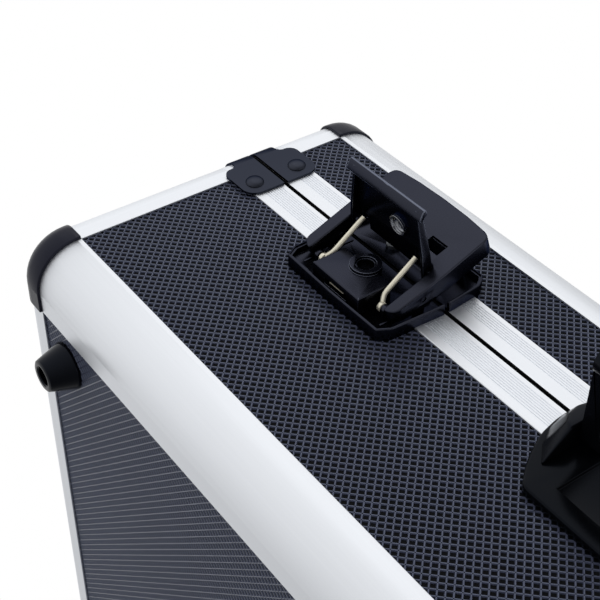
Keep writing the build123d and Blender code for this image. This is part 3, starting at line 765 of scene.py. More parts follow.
@dataclass
class GridPanel:
    """One panel with its moulded grid: two families of ridges on a slab, whose near-black colour is painted
    shade in the pits.
    """

    node: str
    width: float
    height: float
    middle: Point
    turn: Point = (0.0, 0.0, 0.0)
    pitch: float = 2.7 * MM
    ridge_foot: float = 1.0 * MM
    ridge_top: float = 0.42 * MM
    ridge_rise: float = 0.55 * MM

    def ridges(self, sign: int) -> bpy.types.Object:
        """One family of ridges across a square that covers the panel.

        Args:
            sign: 1 or -1, for the way that they lean.

        Returns:
            The ridges in the panel's own plane, with their tops at height 0.
        """
        reach = (self.width + self.height) * math.sqrt(0.5) + 2 * self.pitch
        count = int(reach / self.pitch) + 1
        half = self.ridge_foot / 2
        start = -(count - 1) / 2 * self.pitch
        ridge = block("ridge", (-reach / 2, start - half, -self.ridge_rise - 0.1 * MM),
                      (reach / 2, start + half, 0.0))
        edit(ridge)
        pick(ridge, "FACE", lambda c: c.z > -0.01 * MM)
        bpy.ops.transform.resize(value=(1.0, self.ridge_top / self.ridge_foot, 1.0))
        deselect()
        modify(ridge, "ARRAY", count=count, use_relative_offset=False, use_constant_offset=True,
               constant_offset_displace=(0.0, self.pitch, 0.0))
        return turned(ridge, (0, 0, 0), sign * 45.0, "Z")

    def build(self) -> bpy.types.Object:
        """Make the panel in its plane, trim it, dress it and turn it into place.

        Returns:
            The panel.
        """
        piece = joined(self.node + "_grid", [self.ridges(1), self.ridges(-1)])
        half_w, half_h = self.width / 2, self.height / 2
        for co, no in (((half_w, 0, 0), (1, 0, 0)), ((-half_w, 0, 0), (-1, 0, 0)),
                       ((0, half_h, 0), (0, 1, 0)), ((0, -half_h, 0), (0, -1, 0))):
            edit(piece)
            bpy.ops.mesh.select_all(action="SELECT")
            bpy.ops.mesh.bisect(plane_co=co, plane_no=no, use_fill=True, clear_outer=True)
        deselect()
        dress(piece, RIDGE)
        # The slab shows in the pits between the ridges, and its near-black colour is painted shade.
        slab = block("slab", (-half_w, -half_h, -PANEL), (half_w, half_h, -self.ridge_rise))
        dress(slab, PIT_PAINTED_SHADE)
        piece = joined(piece.name, [piece, slab])
        for axis, degrees in zip("XYZ", self.turn):
            if degrees:
                turned(piece, (0, 0, 0), degrees, axis)
        return moved(piece, self.middle)


@dataclass
class Panels:
    """All ten panels of the case."""

    def build(self) -> None:
        """Make each panel where its node is."""
        for body in ("base", "lid"):
            for side, normal, turn in (("front", -1, (90.0, 0.0, 0.0)), ("back", 1, (-90.0, 0.0, 0.0))):
                node = f"{body}_{side}_panel"
                low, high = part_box(node)
                y = low[1] if normal < 0 else high[1]
                middle = ((low[0] + high[0]) / 2, y, (low[2] + high[2]) / 2)
                grid = GridPanel(node, high[0] - low[0], high[2] - low[2], middle, turn)
                place(grid.build(), body, Slot.PANEL, node)
            node = f"{body}_end_panels"
            low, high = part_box(node)
            ends = []
            for x, degrees in ((low[0], -90.0), (high[0], 90.0)):
                middle = (x, (low[1] + high[1]) / 2, (low[2] + high[2]) / 2)
                grid = GridPanel(node, high[2] - low[2], high[1] - low[1], middle, (0.0, degrees, 0.0))
                ends.append(grid.build())
            place(joined(node + "_grid", ends), body, Slot.PANEL, node)
        for node, body, turn in (("base_floor_panel", "base", 180.0), ("lid_top_panel", "lid", 0.0)):
            low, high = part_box(node)
            z = low[2] if body == "base" else high[2]
            middle = ((low[0] + high[0]) / 2, (low[1] + high[1]) / 2, z)
            grid = GridPanel(node, high[0] - low[0], high[1] - low[1], middle, (turn, 0.0, 0.0))
            place(grid.build(), body, Slot.PANEL, node)


@dataclass
class RimRails:
    """The grooved rails either side of the split.

    The base's tongue stops short of the hinged side by the two clear stretches, so that the lid can turn.
    """

    clear_back: float = 20.0 * MM
    clear_ends: float = 40.0 * MM
    # How far past the gap the painted shade reaches.
    shade_margin: float = 0.2 * MM
    face: float = 16.0 * MM
    gap: float = 0.76 * MM
    corner: float = 8.0 * MM
    groove_pitch: float = 1.15 * MM
    groove_width: float = 0.5 * MM
    groove_depth: float = 0.3 * MM
    steps: int = 8

    def grooves(self, first: float, count: int) -> list[Pair]:
        """The face's outline through its grooves, from the split outwards.

        Args:
            first: the first groove's middle, from the split.
            count: how many grooves.

        Returns:
            Points as (inset from the face, height from the split).
        """
        half = self.groove_width / 2
        points: list[Pair] = []
        for number in range(count):
            at = first + number * self.groove_pitch
            points += [(0.0, at - half), (self.groove_depth, at - half * 0.4),
                       (self.groove_depth, at + half * 0.4), (0.0, at + half)]
        return points

    def section(self, body: str) -> list[Pair]:
        """A rail's section.

        Args:
            body: base or lid.

        Returns:
            Points as (inset from the face, height from the split), in metres.
        """
        gap = self.gap / MM
        if body == "base":
            rim = [(7.4, gap), (4.6, gap), (4.6, -3.0), (3.0, -3.0), (3.0, gap), (0.25, gap)]
            groove = self.grooves(3.4 * MM, 8)
        else:
            rim = [(7.4, gap), (5.0, gap), (5.0, 3.6), (2.6, 3.6), (2.6, gap), (0.25, gap)]
            groove = self.grooves(7.6 * MM, 6)
        inner = [(0.25, 16.0), (1.0, 16.0), (1.0, 8.0), (5.0, 8.0),
                 (5.0, 16.0), (6.2, 16.0), (6.2, 10.0), (7.4, 10.0)]
        face = [(0.0, self.gap + 0.25 * MM), *groove, (0.0, self.face - 0.25 * MM)]
        return [(a * MM, h * MM) for a, h in rim] + face + [(a * MM, h * MM) for a, h in inner]

    def rail(self, name: str, body: str, along: Axis) -> bpy.types.Object:
        """One rail from mitre to mitre, round half of each corner.

        Args:
            name: the object's name.
            body: base or lid.
            along: X for the front rail, Y for the left end's.

        Returns:
            The rail, where it lies.
        """
        sign = -1 if body == "base" else 1
        low, high = -HALF_WIDTH, Y_FRONT
        if along is Axis.X:
            outline = [(high + a, Z_SPLIT + sign * h) for a, h in self.section(body)]
            start, end = low + self.corner, -low - self.corner
            centres = ((end, Y_FRONT + self.corner, 0, 1), (start, Y_FRONT + self.corner, 0, -1))
        else:
            outline = [(low + a, Z_SPLIT + sign * h) for a, h in self.section(body)]
            start, end = Y_FRONT + self.corner, Y_BACK - self.corner
            centres = ((low + self.corner, end, 0, -1), (low + self.corner, start, 0, 1))
        piece = plate(name, outline, along, start, end)
        for (x, y, z, way), at in zip(centres, (end, start)):
            edit(piece)
            pick(piece, "FACE", lambda c, at=at: abs(c[along.value] - at) < 0.001 * MM)
            bpy.ops.mesh.spin(steps=self.steps, angle=-way * math.radians(45.0), center=(x, y, z),
                              axis=(0, 0, 1))
        deselect()
        outward(piece)
        smooth(piece, 25.0)
        return piece

    def build(self) -> None:
        """Make all eight rails."""
        middle_y = (Y_FRONT + Y_BACK) / 2
        for body in ("base", "lid"):
            front = self.rail(f"{body}_front_rail", body, Axis.X)
            back = mirrored(front, Axis.Y, middle_y)
            back.name = f"{body}_back_rail"
            end = self.rail(f"{body}_end_rail", body, Axis.Y)
            ends = joined(f"{body}_end_rails", [end, mirrored(end)])
            if body == "base":
                for rail, stretch in ((back, self.clear_back), (ends, self.clear_ends)):
                    cut(rail, block("clear", (-1, Y_BACK - stretch, Z_SPLIT - self.gap), (1, 1, Z_TOP)))
            for piece, side, finish in ((front, "front_rim_rail", ALUMINIUM_X),
                                        (back, "back_rim_rail", ALUMINIUM_X),
                                        (ends, "end_rim_rails", ALUMINIUM_Y)):
                dress(piece, finish, SPLIT_SHADE)
                # The faces at the split, chamfers included, take the near-black finish as painted shade
                # along the gap.
                sign = -1 if body == "base" else 1
                for face in piece.data.polygons:
                    if sign * (face.center.z - Z_SPLIT) <= self.gap + self.shade_margin:
                        face.material_index = 1
                place(piece, body, Slot.ALUMINIUM, f"{body}_{side}")


@dataclass
class OnFront:
    """Something on the front face, in a frame of its own, with local sizes in millimetres.

    x runs across, v out of the front face and w up from the split.
    """

    x: float = 0.0

    def at(self, x: float, v: float, w: float) -> Point:
        """A point of the local frame, in the case's."""
        return self.x + x * MM, Y_FRONT - v * MM, Z_SPLIT + w * MM

    def slab(self, name: str, outline: Sequence[Pair], v0: float, v1: float) -> bpy.types.Object:
        """A flat outline, as (x, w), from one distance out of the face to another."""
        points = [(self.x + x * MM, Z_SPLIT + w * MM) for x, w in outline]
        return plate(name, points, Axis.Y, Y_FRONT - v0 * MM, Y_FRONT - v1 * MM)

    def across(self, name: str, outline: Sequence[Pair], half: float) -> bpy.types.Object:
        """A flat outline, as (v, w), that runs across by as much on each side."""
        points = [(Y_FRONT - v * MM, Z_SPLIT + w * MM) for v, w in outline]
        return plate(name, points, Axis.X, self.x - half * MM, self.x + half * MM)

    def box(self, low: Point, high: Point) -> bpy.types.Object:
        """A box between two corners given as (x, v, w)."""
        a, b = self.at(*low), self.at(*high)
        return block("box", [min(p) for p in zip(a, b)], [max(p) for p in zip(a, b)])

    def bar(self, x0: float, x1: float, v: float, w: float, radius: float,
            sides: int = 24) -> bpy.types.Object:
        """A round bar along X."""
        return rod("bar", self.at(x0, v, w), self.at(x1, v, w), radius * MM, sides)

    def pillar(self, x: float, w: float, v0: float, v1: float, radius: float,
               sides: int = 40) -> bpy.types.Object:
        """A round bar out of the face."""
        return rod("pillar", self.at(x, v0, w), self.at(x, v1, w), radius * MM, sides)

    def crown(self, piece: bpy.types.Object, v: float, width: float, segments: int = 4) -> None:
        """Round the edges that lie at one distance out of the face.

        Args:
            piece: the object to change.
            v: the distance.
            width: the rounding's width.
            segments: how many steps it has.
        """
        y = Y_FRONT - v * MM
        edit(piece, "EDGE")
        pick(piece, "EDGE", lambda c: abs(c.y - y) < 0.01 * MM)
        bpy.ops.mesh.bevel(offset=width * MM, segments=segments, profile=0.5, affect="EDGES")
        deselect()


@dataclass
class Latch(OnFront):
    """One butterfly latch, open as the frame has it: the cover tilted up and the lever stood on it."""

    side: str = "left"
    top: float = 13.83
    skin: float = 1.6
    cover_pivot: Pair = (9.5, -10.0)
    cover_tilt: float = 19.7
    lever_axis: Pair = (11.67, -1.08)
    lever_swing: float = 99.6
    lock: Pair = (5.5, -15.2)
    tray_rim: tuple[Pair, ...] = ((0, -33.4), (29.0, -32.9), (32.0, -27.5), (33.2, -1.0))
    keeper_rim: tuple[Pair, ...] = ((33.2, 1.0), (31.6, 18.0), (29.6, 21.4), (27.4, 23.6))
    cover_shape: tuple[Pair, ...] = ((0, 28.0), (14.5, 27.7), (26.4, 26.7), (28.6, 25.6), (29.6, 23.4),
                                     (30.2, 2.0), (29.4, -23.2), (23.9, -26.0), (23.9, 1.6))
    cover_pocket: tuple[Pair, ...] = ((0, 26.4), (14.5, 26.1), (25.8, 25.1), (28.1, 22.8), (28.6, 2.0),
                                      (28.0, -22.4), (25.4, -23.8), (25.4, 1.5))
    lever_shape: tuple[Pair, ...] = ((0, -32.8), (19.1, -31.8), (20.3, -26.0), (22.6, -11.0), (23.3, 0.6))
    link_pivot: Pair = (4.4, -22.0)
    link_route: tuple[Point, ...] = ((19.0, 4.4, -22.0), (16.5, 7.7, -19.0), (16.4, 18.9, -3.8))
    wire: float = 1.1
    rail_reach: float = 16.3
    dish_front: float = 4.9
    dish_floor: float = 1.2
    boss: Pair = (0.0, -15.2)
    boss_front: float = 10.8
    centre_front: float = 9.3
    key_slot: Pair = (0.7, 2.4)

    def highlight_edges(self, piece: bpy.types.Object, width: float, segments: int = 2) -> None:
        """Bevel a piece's sharp edges and give the bevels a lighter finish, a painted highlight along the
        edges.

        Args:
            piece: the object to soften.
            width: the bevel's width, in metres.
            segments: how many steps it has.
        """
        # The bevels' slot takes the lighter colour, a painted highlight on the edges.
        dress(piece, LATCH, LATCH_EDGE_HIGHLIGHT)
        soften(piece, width, segments, slot=1)

    def rim(self, name: str, shape: Sequence[Pair]) -> bpy.types.Object:
        """A low dish with a stepped rim, open along the split.

        Args:
            name: the piece's name.
            shape: the right half of its outline.

        Returns:
            The dish.
        """
        front = self.dish_front
        piece = self.slab(name, rounded(both_sides(shape), 1.0), -1.0, front)
        self.crown(piece, front, 0.7, 3)
        for inset, low in ((0.75, front - 0.8), (1.6, self.dish_floor)):
            inside = shrunk(both_sides(shape), inset, open_up=True)
            cut(piece, self.slab("inside", inside, low, front + 1.1))
        return piece

    def tray(self) -> bpy.types.Object:
        """The dish on the base, with its ears, posts and ribs.

        Returns:
            The dish with all that stands in it.
        """
        piece = self.rim(f"{self.side}_latch_tray", self.tray_rim)
        cut(piece, self.box((-50, -2, -self.rail_reach), (50, 0, 2)), self.pillar(*self.boss, -2, 3.4, 1.75))
        parts = [piece]
        for side in (-1, 1):
            for x0, x1, (v, w), radius, hole in ((25.9, 27.9, self.cover_pivot, 2.3, 1.25),
                                                 (20.6, 22.4, self.link_pivot, 2.2, 0.88)):
                ear = self.box((side * x0, 1.0, w - radius), (side * x1, v, w + radius))
                cut(ear, self.bar(side * x0, side * x1, v, w, radius), how="UNION")
                cut(ear, self.bar(side * (x0 - 2), side * (x1 + 2), v, w, hole))
                parts.append(ear)
            for x in (24.4, 29.6):
                parts.append(self.box((side * x, 1.0, -27.5), (side * (x + 0.6), 1.7, -2.0)))
            parts.append(self.box((side * 17.6, 1.0, -31.4), (side * 22.4, 3.2, -30.6)))
        tray = joined(piece.name, parts)
        self.highlight_edges(tray, 0.16 * MM)
        return tray

    def centre(self) -> bpy.types.Object:
        """The box-shaped cover in the tray, with its boss and the strip that shows in its slot.

        Returns:
            The cover with its ring and its strip.
        """
        floor, front = self.dish_floor, self.centre_front
        body = self.box((-14.7, floor, -30.6), (14.7, front, -14.0))
        self.crown(body, front, 0.9)
        cut(body, self.box((-13.3, floor - 1.2, -29.2), (13.3, front - 1.4, -15.4)),
            self.box((-7, 3.2, -31.6), (7, 6.2, -28)))
        cut(body, self.pillar(*self.boss, floor, self.boss_front, 6.7), how="UNION")
        cut(body, self.pillar(*self.boss, 0, self.boss_front + 2.2, 4.4))
        ring = self.pillar(*self.boss, self.boss_front - 1.2, self.boss_front - 0.6, 4.9)
        cut(ring, self.pillar(*self.boss, 9, 11, 3.6))
        self.highlight_edges(body, 0.35 * MM, 3)
        self.highlight_edges(ring, 0.12 * MM)
        body = joined(f"{self.side}_latch_centre", [body, ring])
        strip = self.box((-4.6, 4.5, -29.9), (4.2, 4.9, -29.3))
        soften(strip, 0.1 * MM)
        dress(strip, WIRE)
        return joined(body.name, [body, strip])

    def keeper(self) -> bpy.types.Object:
        """The dish on the lid, with the bar that the cover holds.

        Returns:
            The dish with its bar.
        """
        piece = self.rim(f"{self.side}_latch_keeper", self.keeper_rim)
        cut(piece, self.box((-50, -2, -2), (50, 0, self.rail_reach)))
        for x in (-12.0, 12.0):
            cut(piece, self.pillar(x, 9.0, -2, 2.9, 1.45))
        catch = self.box((-20, 1.0, 19.8), (20, 8.5, 23.4))
        self.highlight_edges(catch, 0.5 * MM, 3)
        self.highlight_edges(piece, 0.16 * MM)
        return joined(piece.name, [piece, catch])

    def open_cover(self, piece: bpy.types.Object) -> bpy.types.Object:
        """Tilt a piece of the cover's group up, as the frame has it."""
        return turned(piece, self.at(0, *self.cover_pivot), self.cover_tilt)

    def cover(self) -> bpy.types.Object:
        """The U-shaped cover: a crowned skin, two arms, its windows and its inner rib.

        Returns:
            The cover, tilted up.
        """
        top = self.top
        low = top - 8.5
        shape = rounded(both_sides(self.cover_shape), 2.6)
        piece = self.slab(f"{self.side}_cover_shell", shape, low, top)
        self.crown(piece, top, 0.8, 4)
        cut(piece, self.slab("pocket", both_sides(self.cover_pocket), low - 1, top - self.skin))
        cut(piece, self.across("under", ((8.2, -27.5), (5.33, -10.0), (3.0, -10.0), (3.0, -27.5)), 40.0))
        for side in (-1, 1):
            cut(piece, self.box((side * 11.2, top - 3, 6.0), (side * 20.4, top + 1, 12.0)),
                self.bar(side * 23, side * 31.5, *self.cover_pivot, 1.3),
                self.bar(side * 23, side * 26.5, *self.lever_axis, 1.05))
        self.highlight_edges(piece, 0.18 * MM)
        rib = self.box((-18, 6.0, 24.2), (18, top - self.skin + 0.2, 26.4))
        self.highlight_edges(rib, 0.3 * MM)
        lips = [self.box((side * 10.4, top - 3.4, 5.4), (side * 21.2, top - 1.5, 6.1)) for side in (-1, 1)]
        for lip in lips:
            self.highlight_edges(lip, 0.25 * MM)
        return self.open_cover(joined(piece.name, [piece, rib, *lips]))

    def stand(self, piece: bpy.types.Object) -> bpy.types.Object:
        """Stand a piece of the lever's group up on the open cover."""
        return self.open_cover(turned(piece, self.at(0, *self.lever_axis), -self.lever_swing))

    def lever(self) -> bpy.types.Object:
        """The lever: a plate with deep flanges, a thick curled lip and two knuckles.

        Returns:
            The lever, stood up.
        """
        top = self.top
        shape = rounded(both_sides(self.lever_shape), 1.4)
        piece = self.slab(f"{self.side}_lever_shell", shape, top - self.skin, top)
        self.crown(piece, top, 0.7, 3)
        cut(piece, self.pillar(*self.lock, top - 4, top + 2, 4.6))
        for side in (-1, 1):
            cut(piece, self.box((side * 14.7, top - 3, -7.4), (side * 18.5, top + 1, 1.5)))
        self.highlight_edges(piece, 0.16 * MM)
        curl = [(-0.1, -31.9), (-0.3, -32.7), (-1.1, -33.0), (-2.2, -32.2), (-3.9, -29.2),
                (-3.9, -28.5), (-3.3, -28.0), (-2.4, -28.2), (-1.5, -29.6), (-0.1, -30.4)]
        lip = self.across("lip", [(top + v, w) for v, w in curl], 22.6)
        self.highlight_edges(lip, 0.4 * MM, 3)
        parts = [piece, lip]
        wall = ((19.3, -31.6), (20.4, -26.0), (22.7, -11.0), (23.3, 0.5), (21.9, 0.5),
                (21.3, -11.0), (19.0, -26.0), (18.0, -31.4))
        wedge = ((top - 5.3, 1.0), (top - 2.6, -32.5), (top - 6, -33.5), (top - 6, 1.0))
        v, w = self.lever_axis
        for side in (-1, 1):
            flange = self.slab("flange", [(side * x, z) for x, z in wall], top - 5.2, top - 0.4)
            cut(flange, self.across("wedge", wedge, 40.0))
            knuckle = self.box((side * 20.4, v, w - 2.0), (side * 23.2, top - 0.4, w + 1.6))
            cut(knuckle, self.bar(side * 20.4, side * 23.2, v, w, 2.0), how="UNION")
            cut(knuckle, self.bar(side * 19, side * 24, v, w, 1.06))
            for part in (flange, knuckle):
                self.highlight_edges(part, 0.2 * MM)
                parts.append(part)
        return self.stand(joined(piece.name, parts))

    def barrel(self) -> bpy.types.Object:
        """The lock's barrel: a ring with a bright bevelled mouth and a keyed core.

        Returns:
            The barrel, stood up with the lever.
        """
        (x, w), top = self.lock, self.top
        wide, tall = self.key_slot
        shell = self.pillar(x, w, top - 2.6, top + 0.3, 4.5, 48)
        cut(shell, self.pillar(x, w, top - 3.6, top - 0.2, 3.9, 48))
        core = self.pillar(x, w, top - 1.2, top - 0.3, 3.4, 32)
        for piece, width in ((shell, 0.25 * MM), (core, 0.4 * MM)):
            cut(piece, self.box((x - wide, top - 3, w - tall), (x + wide, top + 1, w + tall)))
            soften(piece, width, 3)
            dress(piece, BARREL)
        return self.stand(joined(f"{self.side}_lock_ring", [shell, core]))

    def link(self, side: int) -> bpy.types.Object:
        """One bent wire link with its flattened eye.

        Args:
            side: -1 for the left link, 1 for the right one.

        Returns:
            The link.
        """
        data = bpy.data.curves.new("wire", "CURVE")
        data.dimensions = "3D"
        data.bevel_depth = self.wire * MM
        data.bevel_resolution = 5
        data.use_fill_caps = True
        spline = data.splines.new("POLY")
        start, kink, end = (Vector(point) for point in self.link_route)
        near, far = kink.lerp(start, 0.25), kink.lerp(end, 0.09)
        points = [start, near, kink.lerp((near + far) / 2, 0.5), far, end]
        spline.points.add(len(points) - 1)
        for spot, (x, v, w) in zip(spline.points, points):
            spot.co = (*self.at(side * x, v, w), 1.0)
        wire = bpy.data.objects.new("wire", data)
        bpy.context.collection.objects.link(wire)
        use(wire)
        bpy.ops.object.convert(target="MESH")
        wire = bpy.context.object
        x, v, w = self.link_route[0]
        eye = self.bar(side * (x - 1.0), side * (x + 1.0), v, w, 2.1, 28)
        cut(eye, self.bar(side * 16, side * 23, v, w, 0.9))
        soften(eye, 0.45 * MM, 3)
        outward(wire)
        smooth(wire, 50)
        return joined("link", [wire, eye])

    def build(self) -> None:
        """Make and place every piece that is this latch's own."""
        side = self.side
        for piece, body, node in ((self.tray(), "base", "latch_base"),
                                  (self.cover(), f"{side}_cover", "latch_cover"),
                                  (self.lever(), f"{side}_lever", "latch_lever")):
            place(piece, body, Slot.LATCH, f"{side}_{node}")
        place(self.barrel(), f"{side}_lever", Slot.BARREL, f"{side}_lock_barrel")
        links = joined(f"{side}_wire_links", [self.link(-1), self.link(1)])
        dress(links, WIRE)
        place(links, f"{side}_links", Slot.WIRE, f"{side}_latch_links")


@dataclass
class Latches:
    """Both latches, with the pieces that they have in common nodes."""

    from_middle: float = 178.0 * MM

    def build(self) -> None:
        """Make the two latches, then join what shares a node."""
        pair = [Latch(-self.from_middle, "left"), Latch(self.from_middle, "right")]
        for latch in pair:
            latch.build()
        centres = joined("centre_covers", [latch.centre() for latch in pair])
        place(centres, "base", Slot.LATCH, "latch_centre_covers")
        keepers = joined("lid_keepers", [latch.keeper() for latch in pair])
        place(keepers, "lid", Slot.LATCH, "latch_keepers")


@dataclass
class Rivets:
    """The domed rivets through the corner clips."""

    from_end: float = 24.0 * MM
    from_split: float = 11.5 * MM
    stands_on: float = 1.1 * MM
    head: float = 4.2 * MM
    rise: float = 2.0 * MM

    def rivet(self, at: Sequence[float], way: Sequence[float]) -> bpy.types.Object:
        """One rivet head: a low dome on a thin collar.

        Args:
            at: the middle of the head's underside.
            way: the direction that it faces.

        Returns:
            The head, where it sits.
        """
        profile = [(0.0, 1.0), (0.30, 0.97), (0.6, 0.82), (0.82, 0.58), (0.94, 0.3), (0.97, 0.12),
                   (1.0, 0.1), (1.0, 0.0), (0.0, 0.0)]
        dome = lathed("rivet", profile, self.head, self.rise)
        dome.rotation_mode = "QUATERNION"
        dome.rotation_quaternion = Vector(way).to_track_quat("Z", "Y")
        return moved(dome, at)

    def build(self) -> None:
        """Make the rivets of the base's and the lid's clips."""
        middle_y = (Y_FRONT + Y_BACK) / 2
        for body, sign in (("base", -1), ("lid", 1)):
            z = Z_SPLIT + sign * self.from_split
            heads = []
            for end in (-1, 1):
                for face in (-1, 1):
                    x = end * (HALF_WIDTH - self.from_end)
                    y = middle_y + face * (middle_y - Y_FRONT + self.stands_on)
                    heads.append(self.rivet((x, y, z), (0, face, 0)))
                    x = end * (HALF_WIDTH + self.stands_on)
                    y = middle_y + face * (middle_y - Y_FRONT - self.from_end)
                    heads.append(self.rivet((x, y, z), (end, 0, 0)))
            rivets = joined(f"{body}_rivet_heads", heads)
            dress(rivets, CLIP)
            place(rivets, body, Slot.CLIP, f"{body}_clip_rivets")


@dataclass
class Feet:
    """The four tapered rubber feet, each turned with a recess for its screw."""

    from_end: float = 33.6 * MM
    widest: float = 11.0 * MM

    def build(self) -> None:
        """Turn one foot and copy it to the corners."""
        profile = [(0.0, 6.5), (4.0, 6.5), (4.4, 6.1), (4.4, 0.7), (5.0, 0.1), (6.5, 0.0), (7.3, 0.5),
                   (7.7, 1.6), (10.6, 11.2), (11.0, 12.2), (10.8, 13.0), (0.0, 13.0)]
        foot = lathed("foot", profile, MM, MM, steps=64)
        low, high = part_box("feet")
        middle = ((low[0] + high[0]) / 2, (low[1] + high[1]) / 2)
        x, y = HALF_WIDTH - self.from_end, (high[1] - low[1]) / 2 - self.widest
        feet = [moved(copied(foot), (middle[0] + i * x, middle[1] + j * y, low[2]))
                for i in (-1, 1) for j in (-1, 1)]
        bpy.data.objects.remove(foot)
        feet = joined("rubber_feet", feet)
        dress(feet, FOOT)
        place(feet, "base", Slot.FOOT, "feet")


@dataclass
class Handle(OnFront):
    """The carrying handle: its plate and pods on the base, and its arms with the ribbed grip."""

    pivot: Pair = (9.0, -7.5)
    bar_at: float = 42.0
    arm: Pair = (54.0, 62.0)
    plate_front: float = 3.0
    pod_front: float = 14.0
    rings: int = 25
    ring_pitch: float = 4.0
    flank: tuple[Pair, ...] = ((0, -41.0), (60.0, -41.0), (67.4, -31.6), (71.5, -24.0), (74.2, -18.2),
                               (76.3, -8.7), (76.8, -0.9))
    pod_foot: tuple[Pair, ...] = ((62.6, -30.0), (69.8, -22.4), (74.2, -14.0), (76.0, -6.0), (76.0, -0.9),
                                  (62.6, -0.9))
    pod_top: tuple[Pair, ...] = ((62.6, -17.0), (66.0, -15.5), (68.6, -11.5), (69.4, -6.5), (68.2, -2.4),
                                 (62.6, -2.4))

    def plate(self) -> bpy.types.Object:
        """The plate behind the handle, with a rounded edge and a well.

        Returns:
            The plate.
        """
        outline = rounded(both_sides(self.flank), 3.0)
        piece = self.slab("handle_back_plate", outline, -1.0, self.plate_front)
        self.crown(piece, self.plate_front, 1.0)
        cut(piece, self.box((-52, 1.6, -32.3), (52, 5, -5)), self.box((-100, -2, -16.3), (100, 0, 2)))
        soften(piece, 0.25 * MM)
        return piece

    def pod(self) -> bpy.types.Object:
        """One of the two pods that hold the arms: a faceted dome, cut off flat on the arm's side.

        Returns:
            The right pod.
        """
        foot = [(x * MM, Z_SPLIT + w * MM) for x, w in self.pod_foot]
        piece = self.slab("pod", self.pod_foot, self.plate_front, self.pod_front)
        for vertex in piece.data.vertices:
            if vertex.co.y < Y_FRONT - (self.pod_front - 1.0) * MM:
                corner = foot.index(min(foot, key=lambda p: math.dist(p, (vertex.co.x, vertex.co.z))))
                vertex.co.x, _, vertex.co.z = self.at(self.pod_top[corner][0], 0, self.pod_top[corner][1])
        outward(piece)
        soften(piece, 0.9 * MM, 4, 14.0)
        return piece

    def arms(self) -> bpy.types.Object:
        """The two arms, rounded all along, with a collar where each takes the grip.

        Returns:
            Both arms as one piece.
        """
        x0, x1 = self.arm
        v, w = self.pivot
        arms = []
        for side in (-1, 1):
            arm = self.box((side * x0, v, w - 5), (side * x1, self.bar_at, w + 5))
            for out, radius in ((v, 5.0), (self.bar_at, 6.0)):
                cut(arm, self.bar(side * x0, side * x1, out, w, radius, 48), how="UNION")
            cut(arm, self.bar(side * (x0 - 1), side * (x1 + 1), v, w, 2.55, 32))
            soften(arm, 0.9 * MM, 3)
            arms.append(arm)
        return joined("handle_side_arms", arms)

    def grip(self) -> bpy.types.Object:
        """The soft grip: a barrel with rings along it and a wider roll at each end.

        Returns:
            The grip, between the arms.
        """
        half = self.arm[0] - 0.02
        roll = [(0.0, half), (6.6, half), (7.6, half - 0.5), (8.4, half - 2.2), (8.4, half - 3.6)]
        profile: list[Pair] = [(r, -h) for r, h in roll]
        for number in range(self.rings):
            middle = (number - (self.rings - 1) / 2) * self.ring_pitch
            profile += [(7.9, middle - 1.75), (8.6, middle - 1.2), (8.95, middle), (8.6, middle + 1.2),
                        (7.9, middle + 1.75)]
        piece = lathed("handle_ribbed_grip", profile + roll[::-1], MM, MM, steps=56)
        turned(piece, (0, 0, 0), 90.0, "Y")
        return moved(piece, self.at(0, self.bar_at, self.pivot[1]))

    def build(self) -> None:
        """Make and place the handle's pieces."""
        pod = self.pod()
        pods = joined("handle_pod_pair", [pod, mirrored(pod)])
        for piece, body, node, finish in ((self.plate(), "base", "handle_plate", PLATE),
                                          (pods, "base", "handle_pods", POD),
                                          (self.arms(), "handle", "handle_arms", POD)):
            dress(piece, finish)
            place(piece, body, Slot.HANDLE, node)
        grip = self.grip()
        dress(grip, GRIP)
        place(grip, "handle", Slot.GRIP, "handle_grip")


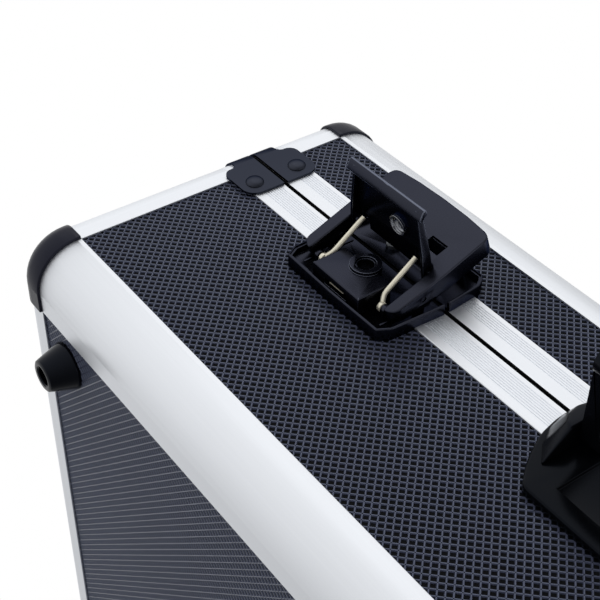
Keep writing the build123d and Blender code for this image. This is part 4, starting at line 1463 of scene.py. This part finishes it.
@dataclass
class Foam:
    """The foam lining: a flat pad and walls in the base, and an egg-crate pad in the lid."""

    step: float = 3.6 * MM
    crate: float = 28.0 * MM
    wave: float = 7.0 * MM
    edge: float = 7.0 * MM
    edge_fall: float = 1.6 * MM
    wall: float = 8.0 * MM

    def shaped(self, piece: bpy.types.Object, low: Sequence[float], high: Sequence[float], waves: float,
               up: int) -> bpy.types.Object:
        """Let the free face fall away at its edges and, where asked, rise and fall in waves.

        Args:
            piece: the pad.
            low: the lowest corner of its node's box.
            high: the highest corner.
            waves: how deep the waves are.
            up: 1 for a free face on top, -1 for one below.

        Returns:
            The same pad.
        """
        free = high[2] if up > 0 else low[2]
        for vertex in piece.data.vertices:
            x, y, z = vertex.co
            if abs(z - free) > 0.1 * MM:
                continue
            edge = min(x - low[0], high[0] - x, y - low[1], high[1] - y)
            fall = self.edge_fall * max(0.0, 1.0 - edge / self.edge) ** 2
            angle = 2 * math.pi / self.crate
            hills = (math.sin(angle * x) * math.sin(angle * y) - 1.0) / 2
            vertex.co.z -= up * (fall - waves * hills)
        smooth(piece, 50.0)
        return piece

    def grid(self, name: str, low: Sequence[float], high: Sequence[float], waves: float,
             up: int) -> bpy.types.Object:
        """A closed pad whose two large faces are divided evenly.

        Args:
            name: the pad's name.
            low: the lowest corner of its node's box.
            high: the highest corner.
            waves: how deep the waves of its free face are.
            up: 1 for a free face on top, -1 for one below.

        Returns:
            The pad.
        """
        deselect()
        size = Vector(high) - Vector(low)
        middle = (Vector(low) + Vector(high)) / 2
        bpy.ops.mesh.primitive_grid_add(x_subdivisions=round(size.x / self.step),
                                        y_subdivisions=round(size.y / self.step), size=1)
        piece = bpy.context.object
        piece.name = name
        piece.scale = (size.x, size.y, 1)
        moved(piece, (middle.x, middle.y, high[2] if up > 0 else low[2]))
        edit(piece)
        bpy.ops.mesh.select_all(action="SELECT")
        back = (0, 0, -up * (size.z - 0.2 * MM))
        bpy.ops.mesh.extrude_region_move(TRANSFORM_OT_translate={"value": back})
        deselect()
        outward(piece)
        return self.shaped(piece, low, high, waves, up)

    def walls(self) -> bpy.types.Object:
        """The four upright linings of the base, rounded at their free edges.

        Returns:
            The linings as one piece.
        """
        low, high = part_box("base_foam_walls")
        short = self.wall + 0.8 * MM
        parts = []
        for y0, y1 in ((low[1], low[1] + self.wall), (high[1] - self.wall, high[1])):
            parts.append(block("wall", (low[0], y0, low[2]), (high[0], y1, high[2])))
        for x0, x1 in ((low[0], low[0] + self.wall), (high[0] - self.wall, high[0])):
            parts.append(block("wall", (x0, low[1] + short, low[2]), (x1, high[1] - short, high[2])))
        for part in parts:
            soften(part, 2.2 * MM, 4)
        return joined("base_wall_pads", parts)

    def build(self) -> None:
        """Make the three linings in place of their solids."""
        low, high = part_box("base_foam_floor")
        pieces = [(self.grid("base_floor_pad", low, high, 0.6 * MM, 1), "base", "base_foam_floor")]
        low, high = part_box("lid_foam")
        pieces.append((self.grid("lid_crate_pad", low, high, self.wave, -1), "lid", "lid_foam"))
        pieces.append((self.walls(), "base", "base_foam_walls"))
        for piece, body, node in pieces:
            dress(piece, FOAM)
            place(piece, body, Slot.FOAM, node)


@dataclass
class CarriedOver:
    """The CAD nodes that are shown as they are, with softened edges and their finishes.

    A node gets the finish of the longest of the names that its own name holds.
    """

    finishes: dict[str, Finish] = field(default_factory=lambda: {
        "edge_profile": ALUMINIUM_X, "end_edge_profiles": ALUMINIUM_Y, "corner_posts": ALUMINIUM_Z,
        "corner_caps": CAP, "clip": CLIP, "screws": SCREW, "pins": SCREW, "latch": LATCH, "hinge": HINGE})
    bevels: dict[str, float] = field(default_factory=lambda: {
        "latch": 0.3 * MM, "handle": 0.8 * MM, "clip": 0.25 * MM, "caps": 0.4 * MM,
        "edge_profile": 0.25 * MM, "posts": 0.25 * MM, "hinge": 0.25 * MM})

    def build(self) -> None:
        """Dress every node that no piece has replaced."""
        for name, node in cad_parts.items():
            if node.hide_render:
                continue
            key = max((key for key in self.finishes if key in name), key=len)
            dress(node, self.finishes[key])
            widths = [width for key, width in self.bevels.items() if key in name]
            if widths:
                weld = node.modifiers.new("weld", "WELD")
                weld.merge_threshold = 0.002 * MM
                bevel = node.modifiers.new("bevel", "BEVEL")
                bevel.width = widths[0]
                bevel.segments = 2
                bevel.limit_method = "ANGLE"
                bevel.angle_limit = math.radians(32)
                bevel.harden_normals = False
            log.info("%s is carried over", name)


def main() -> None:
    """Build the stage and every sub-assembly in order."""
    logging.basicConfig(level=logging.INFO, format="%(message)s")
    Stage().build()
    Panels().build()
    RimRails().build()
    Latches().build()
    Rivets().build()
    Feet().build()
    Handle().build()
    Foam().build()
    CarriedOver().build()


if __name__ == "__main__":
    main()
